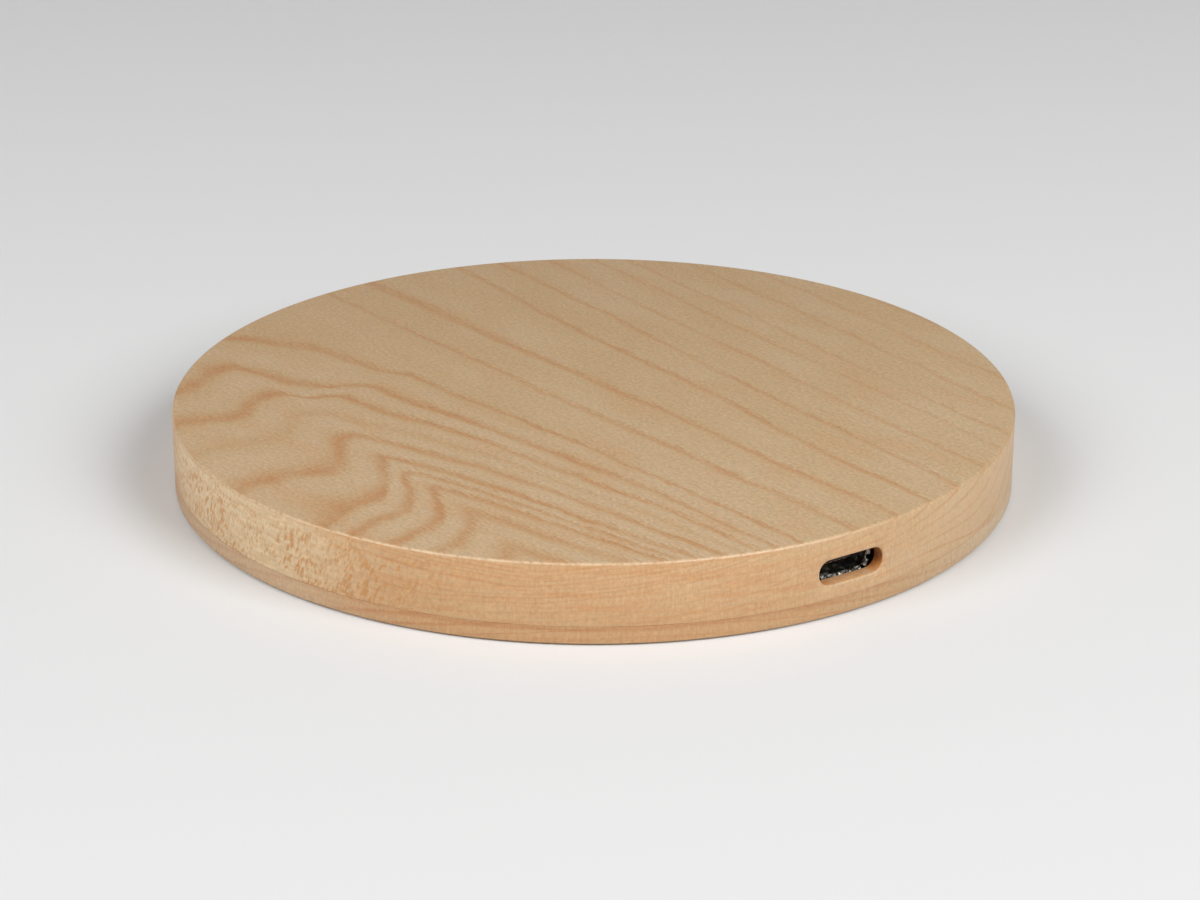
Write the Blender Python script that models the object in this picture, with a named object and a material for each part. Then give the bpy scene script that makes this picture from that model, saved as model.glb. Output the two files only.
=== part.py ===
"""A round wooden wireless charging pad with a small power socket in its edge.

Two turned maple pieces, a hollow body and a base disc, are glued round a flat charging coil on its
ferrite plate and an arc-shaped circuit board. Four silicone feet are let into the base.
The origin is on the table, under the middle of the pad. +Z is up, and the socket faces -Y.
"""

import math

import bmesh
import bpy
from mathutils import Vector

MM = 0.001

# Clearances
REST_GAP = 0.05 * MM  # between two faces that lie on each other
SIDE_GAP = 0.3 * MM  # round a piece that drops into a recess
GLUE_LINE = 0.1 * MM

# Wooden body and base
BODY_HEIGHT = 7.4 * MM
SKIN = 2.0 * MM  # wood left over the coil
RIM_WALL = 5.8 * MM  # round the pocket
TOP_EDGE_ROUND = 0.4 * MM
LOW_EDGE_ROUND = 0.2 * MM
BASE_THICKNESS = 2.0 * MM
SPIGOT_HEIGHT = 0.8 * MM

# Feet
FOOT_COUNT = 4
FOOT_RADIUS = 5.0 * MM
FOOT_THICKNESS = 1.2 * MM
FOOT_STAND = 0.25 * MM  # how far a foot stands out of the base
FOOT_CIRCLE = 36.0 * MM
FOOT_EDGE = 0.15 * MM

# Coil stack
WIRE_RADIUS = 0.5 * MM
TURNS = 10
TURN_GAP = 0.12 * MM
COIL_START_RADIUS = 10.8 * MM  # to the middle of the wire
TAPE_THICKNESS = 0.12 * MM
FERRITE_MARGIN = 3.0 * MM  # past the middle of the last turn
FERRITE_THICKNESS = 1.0 * MM
TAIL_CLEARANCE = 0.6 * MM  # each side of the coil's tail in the ferrite's slot
KEYHOLE_RADIUS = 3.4 * MM
FOAM_MARGIN = 5.0 * MM

# Circuit board
BOARD_WIDTH = 15.9 * MM
BOARD_THICKNESS = 1.0 * MM
BOARD_SPAN = math.radians(104)
BOARD_TO_FERRITE = 3.6 * MM
BOARD_TO_WALL = 0.5 * MM
TAPE_MARGIN = 1.0 * MM
TAB_MARGIN = 2.85 * MM  # of the board beside the socket
PAD_SETBACK = 2.4 * MM  # coil's solder joints from the board's inner edge
LEAD_ANGLES = (math.radians(42), math.radians(48.5))  # inner and outer coil tails
LEAD_THICKNESS = 0.2 * MM
LEAD_WIDTH = 0.4 * MM

# Parts under the board. A size is (length, width, height), a band is a tinned end's length.
CONTROLLER_SIZE = (7.0 * MM, 7.0 * MM, 0.85 * MM)
TRANSISTOR_SIZE = (4.9 * MM, 3.9 * MM, 1.55 * MM)
TRANSISTOR_REACH = 1.05 * MM  # of the leads past the moulding
TRANSISTOR_PITCH = 1.27 * MM
REGULATOR_SIZE = (2.9 * MM, 1.6 * MM, 1.1 * MM)
REGULATOR_REACH = 0.65 * MM
REGULATOR_PITCH = 1.9 * MM
TANK_SIZE = (3.2 * MM, 2.5 * MM, 1.6 * MM)
INPUT_SIZE = (3.2 * MM, 2.5 * MM, 2.0 * MM)
SENSE_SIZE = (3.2 * MM, 1.6 * MM, 0.6 * MM)
LARGE_BAND = 0.5 * MM
BEAD_SIZE = (2.0 * MM, 1.25 * MM, 0.9 * MM)
BEAD_BAND = 0.35 * MM
LAMP_SIZE = (1.6 * MM, 0.8 * MM, 0.7 * MM)
SMALL_CAPACITOR_SIZE = (1.6 * MM, 0.8 * MM, 0.8 * MM)
SMALL_RESISTOR_SIZE = (1.6 * MM, 0.8 * MM, 0.45 * MM)
SMALL_BAND = 0.3 * MM

# Socket, and the slot in the wood in front of it
SLOT_SIDE = 0.65 * MM  # the slot past the socket, each side
SLOT_ABOVE = 0.25 * MM  # and above and below
SLOT_CORNER = 1.35 * MM
SLOT_RISE = 0.27 * MM  # slot's middle above the socket's middle
PORT_WALL = 1.75 * MM
MOUTH_GAP = 0.15 * MM
SOCKET_WIDTH = 7.5 * MM
SOCKET_CHAMFER_WIDTH = 0.8 * MM
SOCKET_HEIGHT = 2.5 * MM
SOCKET_CHAMFER_HEIGHT = 1.1 * MM
SOCKET_DEPTH = 5.4 * MM
SOCKET_CORNER = 0.35 * MM
SHELL_THICKNESS = 0.25 * MM
FLARE = 0.28 * MM
FLARE_LENGTH = 0.45 * MM
BOARD_SETBACK = 0.95 * MM  # board's edge behind the socket's mouth
TONGUE_WIDTH = 3.7 * MM
TONGUE_THICKNESS = 0.6 * MM
TONGUE_SETBACK = 0.9 * MM
BLOCK_DEPTH = 1.6 * MM
CONTACT_COUNT = 5
CONTACT_PITCH = 0.65 * MM
CONTACT_WIDTH = 0.3 * MM
CONTACT_THICKNESS = 0.15 * MM

ROUND_SEGMENTS = 96
SMALL_SEGMENTS = 32

# Radii, from the pad's axis out
TURN_PITCH = 2 * WIRE_RADIUS + TURN_GAP
COIL_END_RADIUS = COIL_START_RADIUS + TURNS * TURN_PITCH
KEYHOLE_CENTRE = COIL_START_RADIUS - KEYHOLE_RADIUS
FERRITE_RADIUS = COIL_END_RADIUS + FERRITE_MARGIN
FOAM_RADIUS = FERRITE_RADIUS - FOAM_MARGIN
BOARD_INNER = FERRITE_RADIUS + BOARD_TO_FERRITE
BOARD_OUTER = BOARD_INNER + BOARD_WIDTH
BOARD_MIDDLE = (BOARD_INNER + BOARD_OUTER) / 2
POCKET_RADIUS = BOARD_OUTER + BOARD_TO_WALL
PAD_RADIUS = POCKET_RADIUS + RIM_WALL
BAY_FACE = PAD_RADIUS - PORT_WALL
MOUTH = BAY_FACE - MOUTH_GAP
BOARD_FRONT = MOUTH - BOARD_SETBACK

# Heights, from the table up
BASE_BOTTOM = FOOT_STAND
BASE_TOP = BASE_BOTTOM + BASE_THICKNESS
SPIGOT_TOP = BASE_TOP + SPIGOT_HEIGHT
BODY_BOTTOM = BASE_TOP + GLUE_LINE
BODY_TOP = BODY_BOTTOM + BODY_HEIGHT
CEILING = BODY_TOP - SKIN
COIL_CENTRE = CEILING - 2 * REST_GAP - TAPE_THICKNESS - WIRE_RADIUS
FERRITE_TAPE_TOP = COIL_CENTRE - WIRE_RADIUS - REST_GAP
FERRITE_TOP = FERRITE_TAPE_TOP - TAPE_THICKNESS - REST_GAP
FERRITE_BOTTOM = FERRITE_TOP - FERRITE_THICKNESS
BOARD_TOP = CEILING - 2 * REST_GAP - TAPE_THICKNESS
BOARD_BOTTOM = BOARD_TOP - BOARD_THICKNESS
SOCKET_CENTRE = BOARD_BOTTOM - REST_GAP - SOCKET_HEIGHT / 2
SLOT_CENTRE = SOCKET_CENTRE + SLOT_RISE

# Widths at the socket
SLOT_WIDTH = SOCKET_WIDTH + 2 * SLOT_SIDE
SLOT_HEIGHT = SOCKET_HEIGHT + 2 * SLOT_ABOVE
TAB_HALF_WIDTH = SOCKET_WIDTH / 2 + TAB_MARGIN
BAY_WIDTH = 2 * (TAB_HALF_WIDTH + BOARD_TO_WALL)
BAY_CORNER = 1.0 * MM


def material(name, colour, roughness, metallic=0.0):
    """A plain surface of one colour."""
    made = bpy.data.materials.new(name)
    made.use_nodes = True
    shader = made.node_tree.nodes["Principled BSDF"]
    shader.inputs["Base Color"].default_value = (*colour, 1)
    shader.inputs["Roughness"].default_value = roughness
    shader.inputs["Metallic"].default_value = metallic
    return made


def add(name, data, surface=None, parent=None):
    """An object in the scene, at its parent's origin. A bmesh becomes its mesh."""
    if isinstance(data, bmesh.types.BMesh):
        mesh = bpy.data.meshes.new(name)
        data.to_mesh(mesh)
        data.free()
        data = mesh
    made = bpy.data.objects.new(name, data)
    bpy.context.scene.collection.objects.link(made)
    made.parent = parent
    if surface:
        data.materials.append(surface)
    return made


def shade(obj, sharp_degrees=35):
    """Smooth shading that keeps the edges sharper than the angle."""
    obj.data.shade_smooth()
    obj.data.set_sharp_from_angle(angle=math.radians(sharp_degrees))


def empty(name, location=(0, 0, 0), turn=0.0, parent=None):
    """A helper that carries the pieces parented to it."""
    made = add(name, None, parent=parent)
    made.location = location
    made.rotation_euler.z = turn
    return made


def boolean(target, tool, operation="DIFFERENCE"):
    """Cuts the tool from the target, or joins it on. The tool itself isn't part of the object."""
    tool.hide_render = True
    tool.display_type = "WIRE"
    modifier = target.modifiers.new(tool.name, "BOOLEAN")
    modifier.operation = operation
    modifier.solver = "EXACT"
    modifier.object = tool


def prism(outline, low, high):
    """A bmesh with a flat outline in X and Y, from height low to height high."""
    bm = bmesh.new()
    floor = bm.faces.new([bm.verts.new((x, y, low)) for x, y in outline])
    grown = bmesh.ops.extrude_face_region(bm, geom=[floor])
    lifted = [item for item in grown["geom"] if isinstance(item, bmesh.types.BMVert)]
    bmesh.ops.translate(bm, verts=lifted, vec=(0, 0, high - low))
    bmesh.ops.recalc_face_normals(bm, faces=bm.faces)
    return bm


def block(size, centre=(0, 0, 0)):
    """A bmesh box of that size about its centre."""
    bm = bmesh.new()
    bmesh.ops.create_cube(bm, size=1)
    bmesh.ops.scale(bm, verts=bm.verts, vec=size)
    bmesh.ops.translate(bm, verts=bm.verts, vec=centre)
    return bm


def turned(profile, segments=ROUND_SEGMENTS, ring=False):
    """A bmesh turned about Z from (radius, height) points, which a ring's profile closes on itself."""
    bm = bmesh.new()
    verts = [bm.verts.new((radius, 0, height)) for radius, height in profile]
    ends = zip(verts, verts[1:] + verts[:1] if ring else verts[1:])
    edges = [bm.edges.new(pair) for pair in ends]
    bmesh.ops.spin(
        bm,
        geom=verts + edges,
        cent=(0, 0, 0),
        axis=(0, 0, 1),
        angle=math.tau,
        steps=segments,
        use_merge=True,
    )
    bmesh.ops.remove_doubles(bm, verts=bm.verts, dist=1e-6)
    bmesh.ops.recalc_face_normals(bm, faces=bm.faces)
    return bm


def arc(centre, radius, start, end, steps):
    """Points on an arc about a centre in a plane. The angles are in radians."""
    angles = [start + (end - start) * step / steps for step in range(steps + 1)]
    return [(centre[0] + radius * math.cos(a), centre[1] + radius * math.sin(a)) for a in angles]


def grown(corners, distance):
    """A convex outline, given counter-clockwise, with every side moved out by a distance."""
    points = [Vector(corner) for corner in corners]
    sides = []
    for here, after in zip(points, points[1:] + points[:1]):
        along = (after - here).normalized()
        sides.append((here + distance * Vector((along.y, -along.x)), along))
    moved = []
    for (point_a, along_a), (point_b, along_b) in zip(sides[-1:] + sides[:-1], sides):
        reach = (point_b - point_a).cross(along_b) / along_a.cross(along_b)
        moved.append(point_a + reach * along_a)
    return moved


def rounded(corners, radius, steps=4):
    """The outline with its corners rounded, each by an arc of that radius."""
    points = [Vector(corner) for corner in corners]
    outline = []
    for before, here, after in zip(points[-1:] + points[:-1], points, points[1:] + points[:1]):
        into = (here - before).normalized()
        out = (after - here).normalized()
        turn = into.angle(out)
        start = here - into * radius * math.tan(turn / 2)
        centre = start + radius * Vector((-into.y, into.x))
        first = math.atan2(start.y - centre.y, start.x - centre.x)
        outline += arc(centre, radius, first, first + turn, steps)
    return outline


def rectangle(width, depth):
    return [
        (-width / 2, -depth / 2),
        (width / 2, -depth / 2),
        (width / 2, depth / 2),
        (-width / 2, depth / 2),
    ]


def facing_front(outline, near, far):
    """A bmesh from an outline in X and Z, standing from depth near to depth far along Y."""
    bm = prism(outline, near, far)
    for vert in bm.verts:
        vert.co = (vert.co.x, vert.co.z, vert.co.y)
    bmesh.ops.recalc_face_normals(bm, faces=bm.faces)
    return bm


def smooth_path(points, steps):
    """Points along a Catmull-Rom curve through the given ones."""
    points = [Vector(point) for point in points]
    padded = [2 * points[0] - points[1], *points, 2 * points[-1] - points[-2]]
    path = []
    for before, here, after, beyond in zip(padded, padded[1:], padded[2:], padded[3:]):
        for step in range(steps):
            t = step / steps
            path.append(
                0.5
                * (
                    2 * here
                    + (after - before) * t
                    + (2 * before - 5 * here + 4 * after - beyond) * t**2
                    + (3 * here - before - 3 * after + beyond) * t**3
                )
            )
    return [*path, points[-1]]


def tube(name, path, radius, surface, parent):
    """A round wire along a path, with closed ends."""
    curve = bpy.data.curves.new(name, "CURVE")
    curve.dimensions = "3D"
    curve.bevel_depth = radius
    curve.bevel_resolution = 1
    curve.use_fill_caps = True
    spline = curve.splines.new("POLY")
    spline.points.add(len(path) - 1)
    for point, place in zip(spline.points, path):
        point.co = (*place, 1)
    return add(name, curve, surface, parent)


def polar(radius, angle, height=0.0):
    """A point at an angle from -Y, counter-clockwise seen from above."""
    return Vector((radius * math.sin(angle), -radius * math.cos(angle), height))


# Wooden body and base --------------------------------------------------------------------------


def make_body(surface, parent):
    """The hollow upper part. It is turned, then milled for the socket's bay and slot."""
    top_arc = arc(
        (PAD_RADIUS - TOP_EDGE_ROUND, BODY_TOP - TOP_EDGE_ROUND), TOP_EDGE_ROUND, math.pi / 2, 0, 3
    )
    profile = [
        (0, BODY_TOP),
        *top_arc,
        (PAD_RADIUS, BODY_BOTTOM),
        (POCKET_RADIUS, BODY_BOTTOM),
        (POCKET_RADIUS, CEILING),
        (0, CEILING),
    ]
    body = add("top_body", turned(profile), surface, parent)
    boolean(body, add("cut_socket_bay", socket_bay(BODY_BOTTOM - BODY_HEIGHT, CEILING), parent=parent))
    slot = rounded(rectangle(SLOT_WIDTH, SLOT_HEIGHT), SLOT_CORNER, 6)
    slot_bm = facing_front(slot, -PAD_RADIUS - PORT_WALL, -BAY_FACE + PORT_WALL)
    bmesh.ops.translate(slot_bm, verts=slot_bm.verts, vec=(0, 0, SLOT_CENTRE))
    boolean(body, add("cut_socket_slot", slot_bm, parent=parent))
    shade(body)


def socket_bay(low, high):
    """The room for the socket and the board's tab, from the pocket out to the wall, as a bmesh."""
    bay = prism(rounded(rectangle(BAY_WIDTH, BAY_FACE), BAY_CORNER, 3), low, high)
    bmesh.ops.translate(bay, verts=bay.verts, vec=(0, -BAY_FACE / 2, 0))
    return bay


def foot_angles():
    return [math.tau * (index + 0.5) / FOOT_COUNT for index in range(FOOT_COUNT)]


def make_base(surface, parent):
    """The disc that closes the body. Its spigot centres it in the pocket, and is notched under
    the socket."""
    spigot_radius = POCKET_RADIUS - SIDE_GAP
    low_arc = arc(
        (PAD_RADIUS - LOW_EDGE_ROUND, BASE_BOTTOM + LOW_EDGE_ROUND),
        LOW_EDGE_ROUND,
        0,
        -math.pi / 2,
        2,
    )
    profile = [
        (0, SPIGOT_TOP),
        (spigot_radius, SPIGOT_TOP),
        (spigot_radius, BASE_TOP),
        (PAD_RADIUS, BASE_TOP),
        *low_arc,
        (0, BASE_BOTTOM),
    ]
    base = add("base_disc", turned(profile), surface, parent)
    notch = prism(rectangle(BAY_WIDTH, 2 * SOCKET_DEPTH), BASE_TOP, BODY_TOP)
    bmesh.ops.translate(notch, verts=notch.verts, vec=(0, -MOUTH, 0))
    boolean(base, add("cut_spigot", notch, parent=parent))
    recess_top = FOOT_THICKNESS + REST_GAP
    for number, angle in enumerate(foot_angles(), 1):
        recess = [(0, recess_top), (FOOT_RADIUS + SIDE_GAP, recess_top)]
        recess += [(FOOT_RADIUS + SIDE_GAP, -FOOT_STAND), (0, -FOOT_STAND)]
        cutter = add(f"cut_foot_{number}", turned(recess, SMALL_SEGMENTS), parent=parent)
        cutter.location = polar(FOOT_CIRCLE, angle)
        boolean(base, cutter)
    shade(base)


def make_feet(surface, parent):
    """Silicone discs that stand a little out of their recesses."""
    profile = [
        (0, FOOT_THICKNESS),
        (FOOT_RADIUS, FOOT_THICKNESS),
        (FOOT_RADIUS, FOOT_EDGE),
        (FOOT_RADIUS - FOOT_EDGE, 0),
        (0, 0),
    ]
    for number, angle in enumerate(foot_angles(), 1):
        foot = add(f"foot_{number}", turned(profile, SMALL_SEGMENTS), surface, parent)
        foot.location = polar(FOOT_CIRCLE, angle)
        shade(foot)


# Coil stack ------------------------------------------------------------------------------------


def coil_path():
    """The wire's centreline: inner tail, ten flat turns and outer tail."""
    inner_angle, outer_angle = LEAD_ANGLES
    pad_radius = BOARD_INNER + PAD_SETBACK
    pad_height = BOARD_BOTTOM - REST_GAP - WIRE_RADIUS
    slot_height = FERRITE_TOP - FERRITE_THICKNESS / 2
    inner_tail = [
        polar(pad_radius, inner_angle, pad_height),
        polar(BOARD_INNER - 1 * MM, inner_angle, (pad_height + slot_height) / 2),
        polar(FERRITE_RADIUS - 1 * MM, inner_angle, slot_height),
        polar(FERRITE_RADIUS / 2, inner_angle, slot_height),
        polar(KEYHOLE_CENTRE + 0.6 * MM, inner_angle, slot_height),
        polar(KEYHOLE_CENTRE - 1.5 * MM, inner_angle + 0.13, slot_height + 0.35 * MM),
        polar(KEYHOLE_CENTRE - 0.6 * MM, inner_angle + 0.42, COIL_CENTRE - 0.25 * MM),
    ]
    first = inner_angle + 0.8
    last = outer_angle - math.radians(12)
    sweep = TURNS * math.tau + (last - first) % math.tau - math.tau
    steps = 24 * TURNS
    turns = []
    for step in range(steps + 1):
        share = step / steps
        radius = COIL_START_RADIUS + share * (COIL_END_RADIUS - COIL_START_RADIUS)
        turns.append(polar(radius, first + sweep * share, COIL_CENTRE))
    outer_tail = [
        polar(COIL_END_RADIUS + 1.3 * MM, outer_angle - math.radians(4), COIL_CENTRE),
        polar(FERRITE_RADIUS + 0.2 * MM, outer_angle - math.radians(1), COIL_CENTRE),
        polar(BOARD_INNER - 1 * MM, outer_angle, (COIL_CENTRE + pad_height) / 2 - 0.2 * MM),
        polar(BOARD_INNER + 0.4 * MM, outer_angle, pad_height),
        polar(pad_radius, outer_angle, pad_height),
    ]
    start = smooth_path([*inner_tail, turns[0], turns[1]], 4)[:-5]
    end = smooth_path([turns[-2], turns[-1], *outer_tail], 4)[5:]
    return [*start, *turns, *end]


def keyhole(low, high):
    """The opening in the ferrite for the inner tail, as a bmesh: a slot and a round hole."""
    half = WIRE_RADIUS + TAIL_CLEARANCE
    meet = math.asin(half / KEYHOLE_RADIUS)
    outline = [(half, -2 * FERRITE_RADIUS), (half, -KEYHOLE_CENTRE - KEYHOLE_RADIUS * math.cos(meet))]
    start = meet - math.pi / 2
    outline += arc((0, -KEYHOLE_CENTRE), KEYHOLE_RADIUS, start, start + math.tau - 2 * meet, 18)[1:]
    outline.append((-half, -2 * FERRITE_RADIUS))
    return prism(outline, low, high)


def make_coil_stack(surfaces, parent):
    """Tape, winding, tape, ferrite plate and foam, from the ceiling down."""
    tube("coil_winding", coil_path(), WIRE_RADIUS, surfaces["copper"], parent)
    upper = [(0, CEILING - REST_GAP), (COIL_END_RADIUS, CEILING - REST_GAP)]
    upper += [(COIL_END_RADIUS, CEILING - REST_GAP - TAPE_THICKNESS)]
    upper += [(0, CEILING - REST_GAP - TAPE_THICKNESS)]
    add("coil_tape", turned(upper), surfaces["tape"], parent)
    hole = COIL_START_RADIUS - WIRE_RADIUS
    lower = [(hole, FERRITE_TAPE_TOP), (COIL_END_RADIUS, FERRITE_TAPE_TOP)]
    lower += [(COIL_END_RADIUS, FERRITE_TAPE_TOP - TAPE_THICKNESS)]
    lower += [(hole, FERRITE_TAPE_TOP - TAPE_THICKNESS)]
    add("ferrite_tape", turned(lower, ring=True), surfaces["tape"], parent)
    plate = [(0, FERRITE_TOP), (FERRITE_RADIUS, FERRITE_TOP)]
    plate += [(FERRITE_RADIUS, FERRITE_BOTTOM), (0, FERRITE_BOTTOM)]
    ferrite = add("ferrite_plate", turned(plate), surfaces["ferrite"], parent)
    cutter = add("cut_keyhole", keyhole(SPIGOT_TOP, BODY_TOP), parent=parent)
    cutter.rotation_euler.z = LEAD_ANGLES[0]
    boolean(ferrite, cutter)
    shade(ferrite)
    foam = [(0, FERRITE_BOTTOM - REST_GAP), (FOAM_RADIUS, FERRITE_BOTTOM - REST_GAP)]
    foam += [(FOAM_RADIUS, SPIGOT_TOP + REST_GAP), (0, SPIGOT_TOP + REST_GAP)]
    shade(add("foam_pad", turned(foam, SMALL_SEGMENTS), surfaces["foam"], parent))


# Circuit board ---------------------------------------------------------------------------------


def crescent(inner, outer, span, tab=None):
    """An arc-shaped outline about -Y. A tab is its (half width, distance from the axis)."""
    middle = -math.pi / 2
    outline = arc((0, 0), inner, middle + span / 2, middle - span / 2, 24)
    if tab is None:
        return outline + arc((0, 0), outer, middle - span / 2, middle + span / 2, 24)
    half_width, front = tab
    beside = math.asin(half_width / outer)
    outline += arc((0, 0), outer, middle - span / 2, middle - beside, 12)
    outline += [(-half_width, -front), (half_width, -front)]
    return outline + arc((0, 0), outer, middle + beside, middle + span / 2, 12)


def make_board(surfaces, parent):
    """The arc-shaped board, taped to the pocket's ceiling."""
    tab = (TAB_HALF_WIDTH, BOARD_FRONT)
    outline = crescent(BOARD_INNER, BOARD_OUTER, BOARD_SPAN, tab)
    add("circuit_board", prism(outline, BOARD_BOTTOM, BOARD_TOP), surfaces["board"], parent)
    narrower = BOARD_SPAN - 2 * TAPE_MARGIN / BOARD_MIDDLE
    strip = crescent(BOARD_INNER + TAPE_MARGIN, BOARD_OUTER - TAPE_MARGIN, narrower)
    tape_low = BOARD_TOP + REST_GAP
    tape = prism(strip, tape_low, tape_low + TAPE_THICKNESS)
    add("board_tape", tape, surfaces["tape"], parent)


def hang(name, bm, surface, along, across, parent, turn=0.0):
    """Puts a piece under the board. along is measured from the socket's line round the board's
    middle arc, across is measured outwards from that arc."""
    angle = along / BOARD_MIDDLE
    made = add(name, bm, surface, parent)
    made.location = polar(BOARD_MIDDLE + across, angle, BOARD_BOTTOM - REST_GAP)
    made.rotation_euler.z = angle + turn
    return made


def chip(length, width, height, band=0.0, step=0.03 * MM):
    """A bmesh of a two-ended chip hanging from its origin. Its end bands stand out by a step."""
    bm = bmesh.new()
    half = length / 2
    slices = [(-half, 0), (-half + band, 0), (-half + band, step)]
    slices += [(half - band, step), (half - band, 0), (half, 0)]
    rings = []
    for place, inset in slices if band else [(-half, 0), (half, 0)]:
        side = width / 2 - inset
        corners = [(-side, -inset), (side, -inset), (side, inset - height), (-side, inset - height)]
        rings.append([bm.verts.new((place, y, z)) for y, z in corners])
    for here, after in zip(rings, rings[1:]):
        for corner in range(4):
            bm.faces.new((here[corner - 1], here[corner], after[corner], after[corner - 1]))
    bm.faces.new(rings[0])
    bm.faces.new(rings[-1])
    bmesh.ops.recalc_face_normals(bm, faces=bm.faces)
    return bm


def package(name, body, reach, count, pitch, surface, place, parent):
    """A moulded package with gull-wing leads on two sides, hanging under the board.
    body is (length, width, height), count is leads a side, place is (along, across)."""
    length, width, height = body
    half = width / 2
    thick = LEAD_THICKNESS
    size = (length, width, height - thick)
    case = block(size, (0, 0, -(height + thick) / 2))
    bmesh.ops.bevel(case, geom=case.edges[:], offset=0.12 * MM, segments=1, affect="EDGES")
    made = hang(name, case, surface, *place, parent)
    knee = half + 0.35 * MM
    outline = [
        (half - 0.3 * MM, -(height + thick) / 2),
        (knee, -(height + thick) / 2),
        (knee, -thick),
        (half + reach, -thick),
        (half + reach, 0),
        (knee - thick, 0),
        (knee - thick, -(height - thick) / 2),
        (half - 0.3 * MM, -(height - thick) / 2),
    ]
    for side in (-1, 1):
        for index in range(count):
            middle = (index - (count - 1) / 2) * pitch
            lead = prism(outline, middle - LEAD_WIDTH / 2, middle + LEAD_WIDTH / 2)
            for vert in lead.verts:
                vert.co = (side * vert.co.z, side * vert.co.x, vert.co.y)
            bmesh.ops.recalc_face_normals(lead, faces=lead.faces)
            boolean(made, add(f"join_{name}_{side}_{index}", lead, parent=made), "UNION")


def make_solder_joint(name, angle, surface, parent):
    """A solder dome under the board, hollowed where the coil's tail lies in it."""
    radius = 1.7 * MM
    depth = 1.35 * MM
    quarter = arc((0, 0), 1, 0, -math.pi / 2, 5)
    profile = [(0, 0)] + [(radius * x, depth * y) for x, y in quarter]
    centre = BOARD_INNER + PAD_SETBACK
    made = add(name, turned(profile, 20), surface, parent)
    made.location = polar(centre, angle, BOARD_BOTTOM - REST_GAP)
    made.rotation_euler.z = angle
    bore = rounded(rectangle(3 * WIRE_RADIUS, 3 * WIRE_RADIUS), WIRE_RADIUS, 3)
    channel = facing_front(bore, -0.5 * MM, 4 * radius)
    bmesh.ops.translate(channel, verts=channel.verts, vec=(0, 0, -WIRE_RADIUS))
    cutter = add(f"cut_{name}", channel, parent=made)
    boolean(made, cutter)
    shade(made)


def make_components(surfaces, parent):
    """What is soldered under the board, from the middle outwards on both sides."""
    moulding = surfaces["moulding"]
    hang("controller_chip", chip(*CONTROLLER_SIZE), moulding, -14.5 * MM, 0, parent)
    for number, across in ((1, 3.6 * MM), (2, -3.6 * MM)):
        place = (12.5 * MM, across)
        name = f"bridge_transistor_{number}"
        package(name, TRANSISTOR_SIZE, TRANSISTOR_REACH, 4, TRANSISTOR_PITCH, moulding, place, parent)
    place = (0, -4.6 * MM)
    package("regulator", REGULATOR_SIZE, REGULATOR_REACH, 2, REGULATOR_PITCH, moulding, place, parent)
    quarter_turn = math.pi / 2
    for number in range(4):
        along = (19.6 + 2.9 * (number // 2)) * MM
        across = (2.1 - 4.2 * (number % 2)) * MM
        name = f"tank_capacitor_{number + 1}"
        hang(name, chip(*TANK_SIZE, LARGE_BAND), surfaces["ceramic"], along, across, parent, quarter_turn)
    for number, along in ((1, -3.2 * MM), (2, 3.2 * MM)):
        name = f"input_capacitor_{number}"
        hang(name, chip(*INPUT_SIZE, LARGE_BAND), surfaces["ceramic"], along, -0.9 * MM, parent, quarter_turn)
    hang("input_bead", chip(*BEAD_SIZE, BEAD_BAND), surfaces["ferrite"], 0, 2.2 * MM, parent)
    sense = chip(*SENSE_SIZE, LARGE_BAND)
    hang("sense_resistor", sense, surfaces["resistor"], 7.6 * MM, -1.0 * MM, parent, quarter_turn)
    for number, along in ((1, -8.2 * MM), (2, 8.2 * MM)):
        lamp = chip(*LAMP_SIZE, SMALL_BAND)
        hang(f"status_lamp_{number}", lamp, surfaces["lamp"], along, 5.6 * MM, parent)
    for number in range(6):
        across = (2.4 - 2.4 * (number % 3)) * MM
        along = (-20.6 - 2.6 * (number // 3)) * MM
        small = chip(*SMALL_CAPACITOR_SIZE, SMALL_BAND)
        hang(f"small_capacitor_{number + 1}", small, surfaces["ceramic"], along, across, parent)
        along = (-25.9 - 2.6 * (number // 3)) * MM
        small = chip(*SMALL_RESISTOR_SIZE, SMALL_BAND)
        hang(f"small_resistor_{number + 1}", small, surfaces["resistor"], along, across, parent)
    for number, angle in enumerate(LEAD_ANGLES, 1):
        make_solder_joint(f"solder_joint_{number}", angle, surfaces["solder"], parent)


# Socket ----------------------------------------------------------------------------------------


def socket_corners():
    """The shell's outer outline in X and Z about its middle, wide side up, counter-clockwise."""
    wide = SOCKET_WIDTH / 2
    narrow = wide - SOCKET_CHAMFER_WIDTH
    half = SOCKET_HEIGHT / 2
    shoulder = -half + SOCKET_CHAMFER_HEIGHT
    lower = [(-narrow, -half), (narrow, -half), (wide, shoulder)]
    return lower + [(wide, half), (-wide, half), (-wide, shoulder)]


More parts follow.
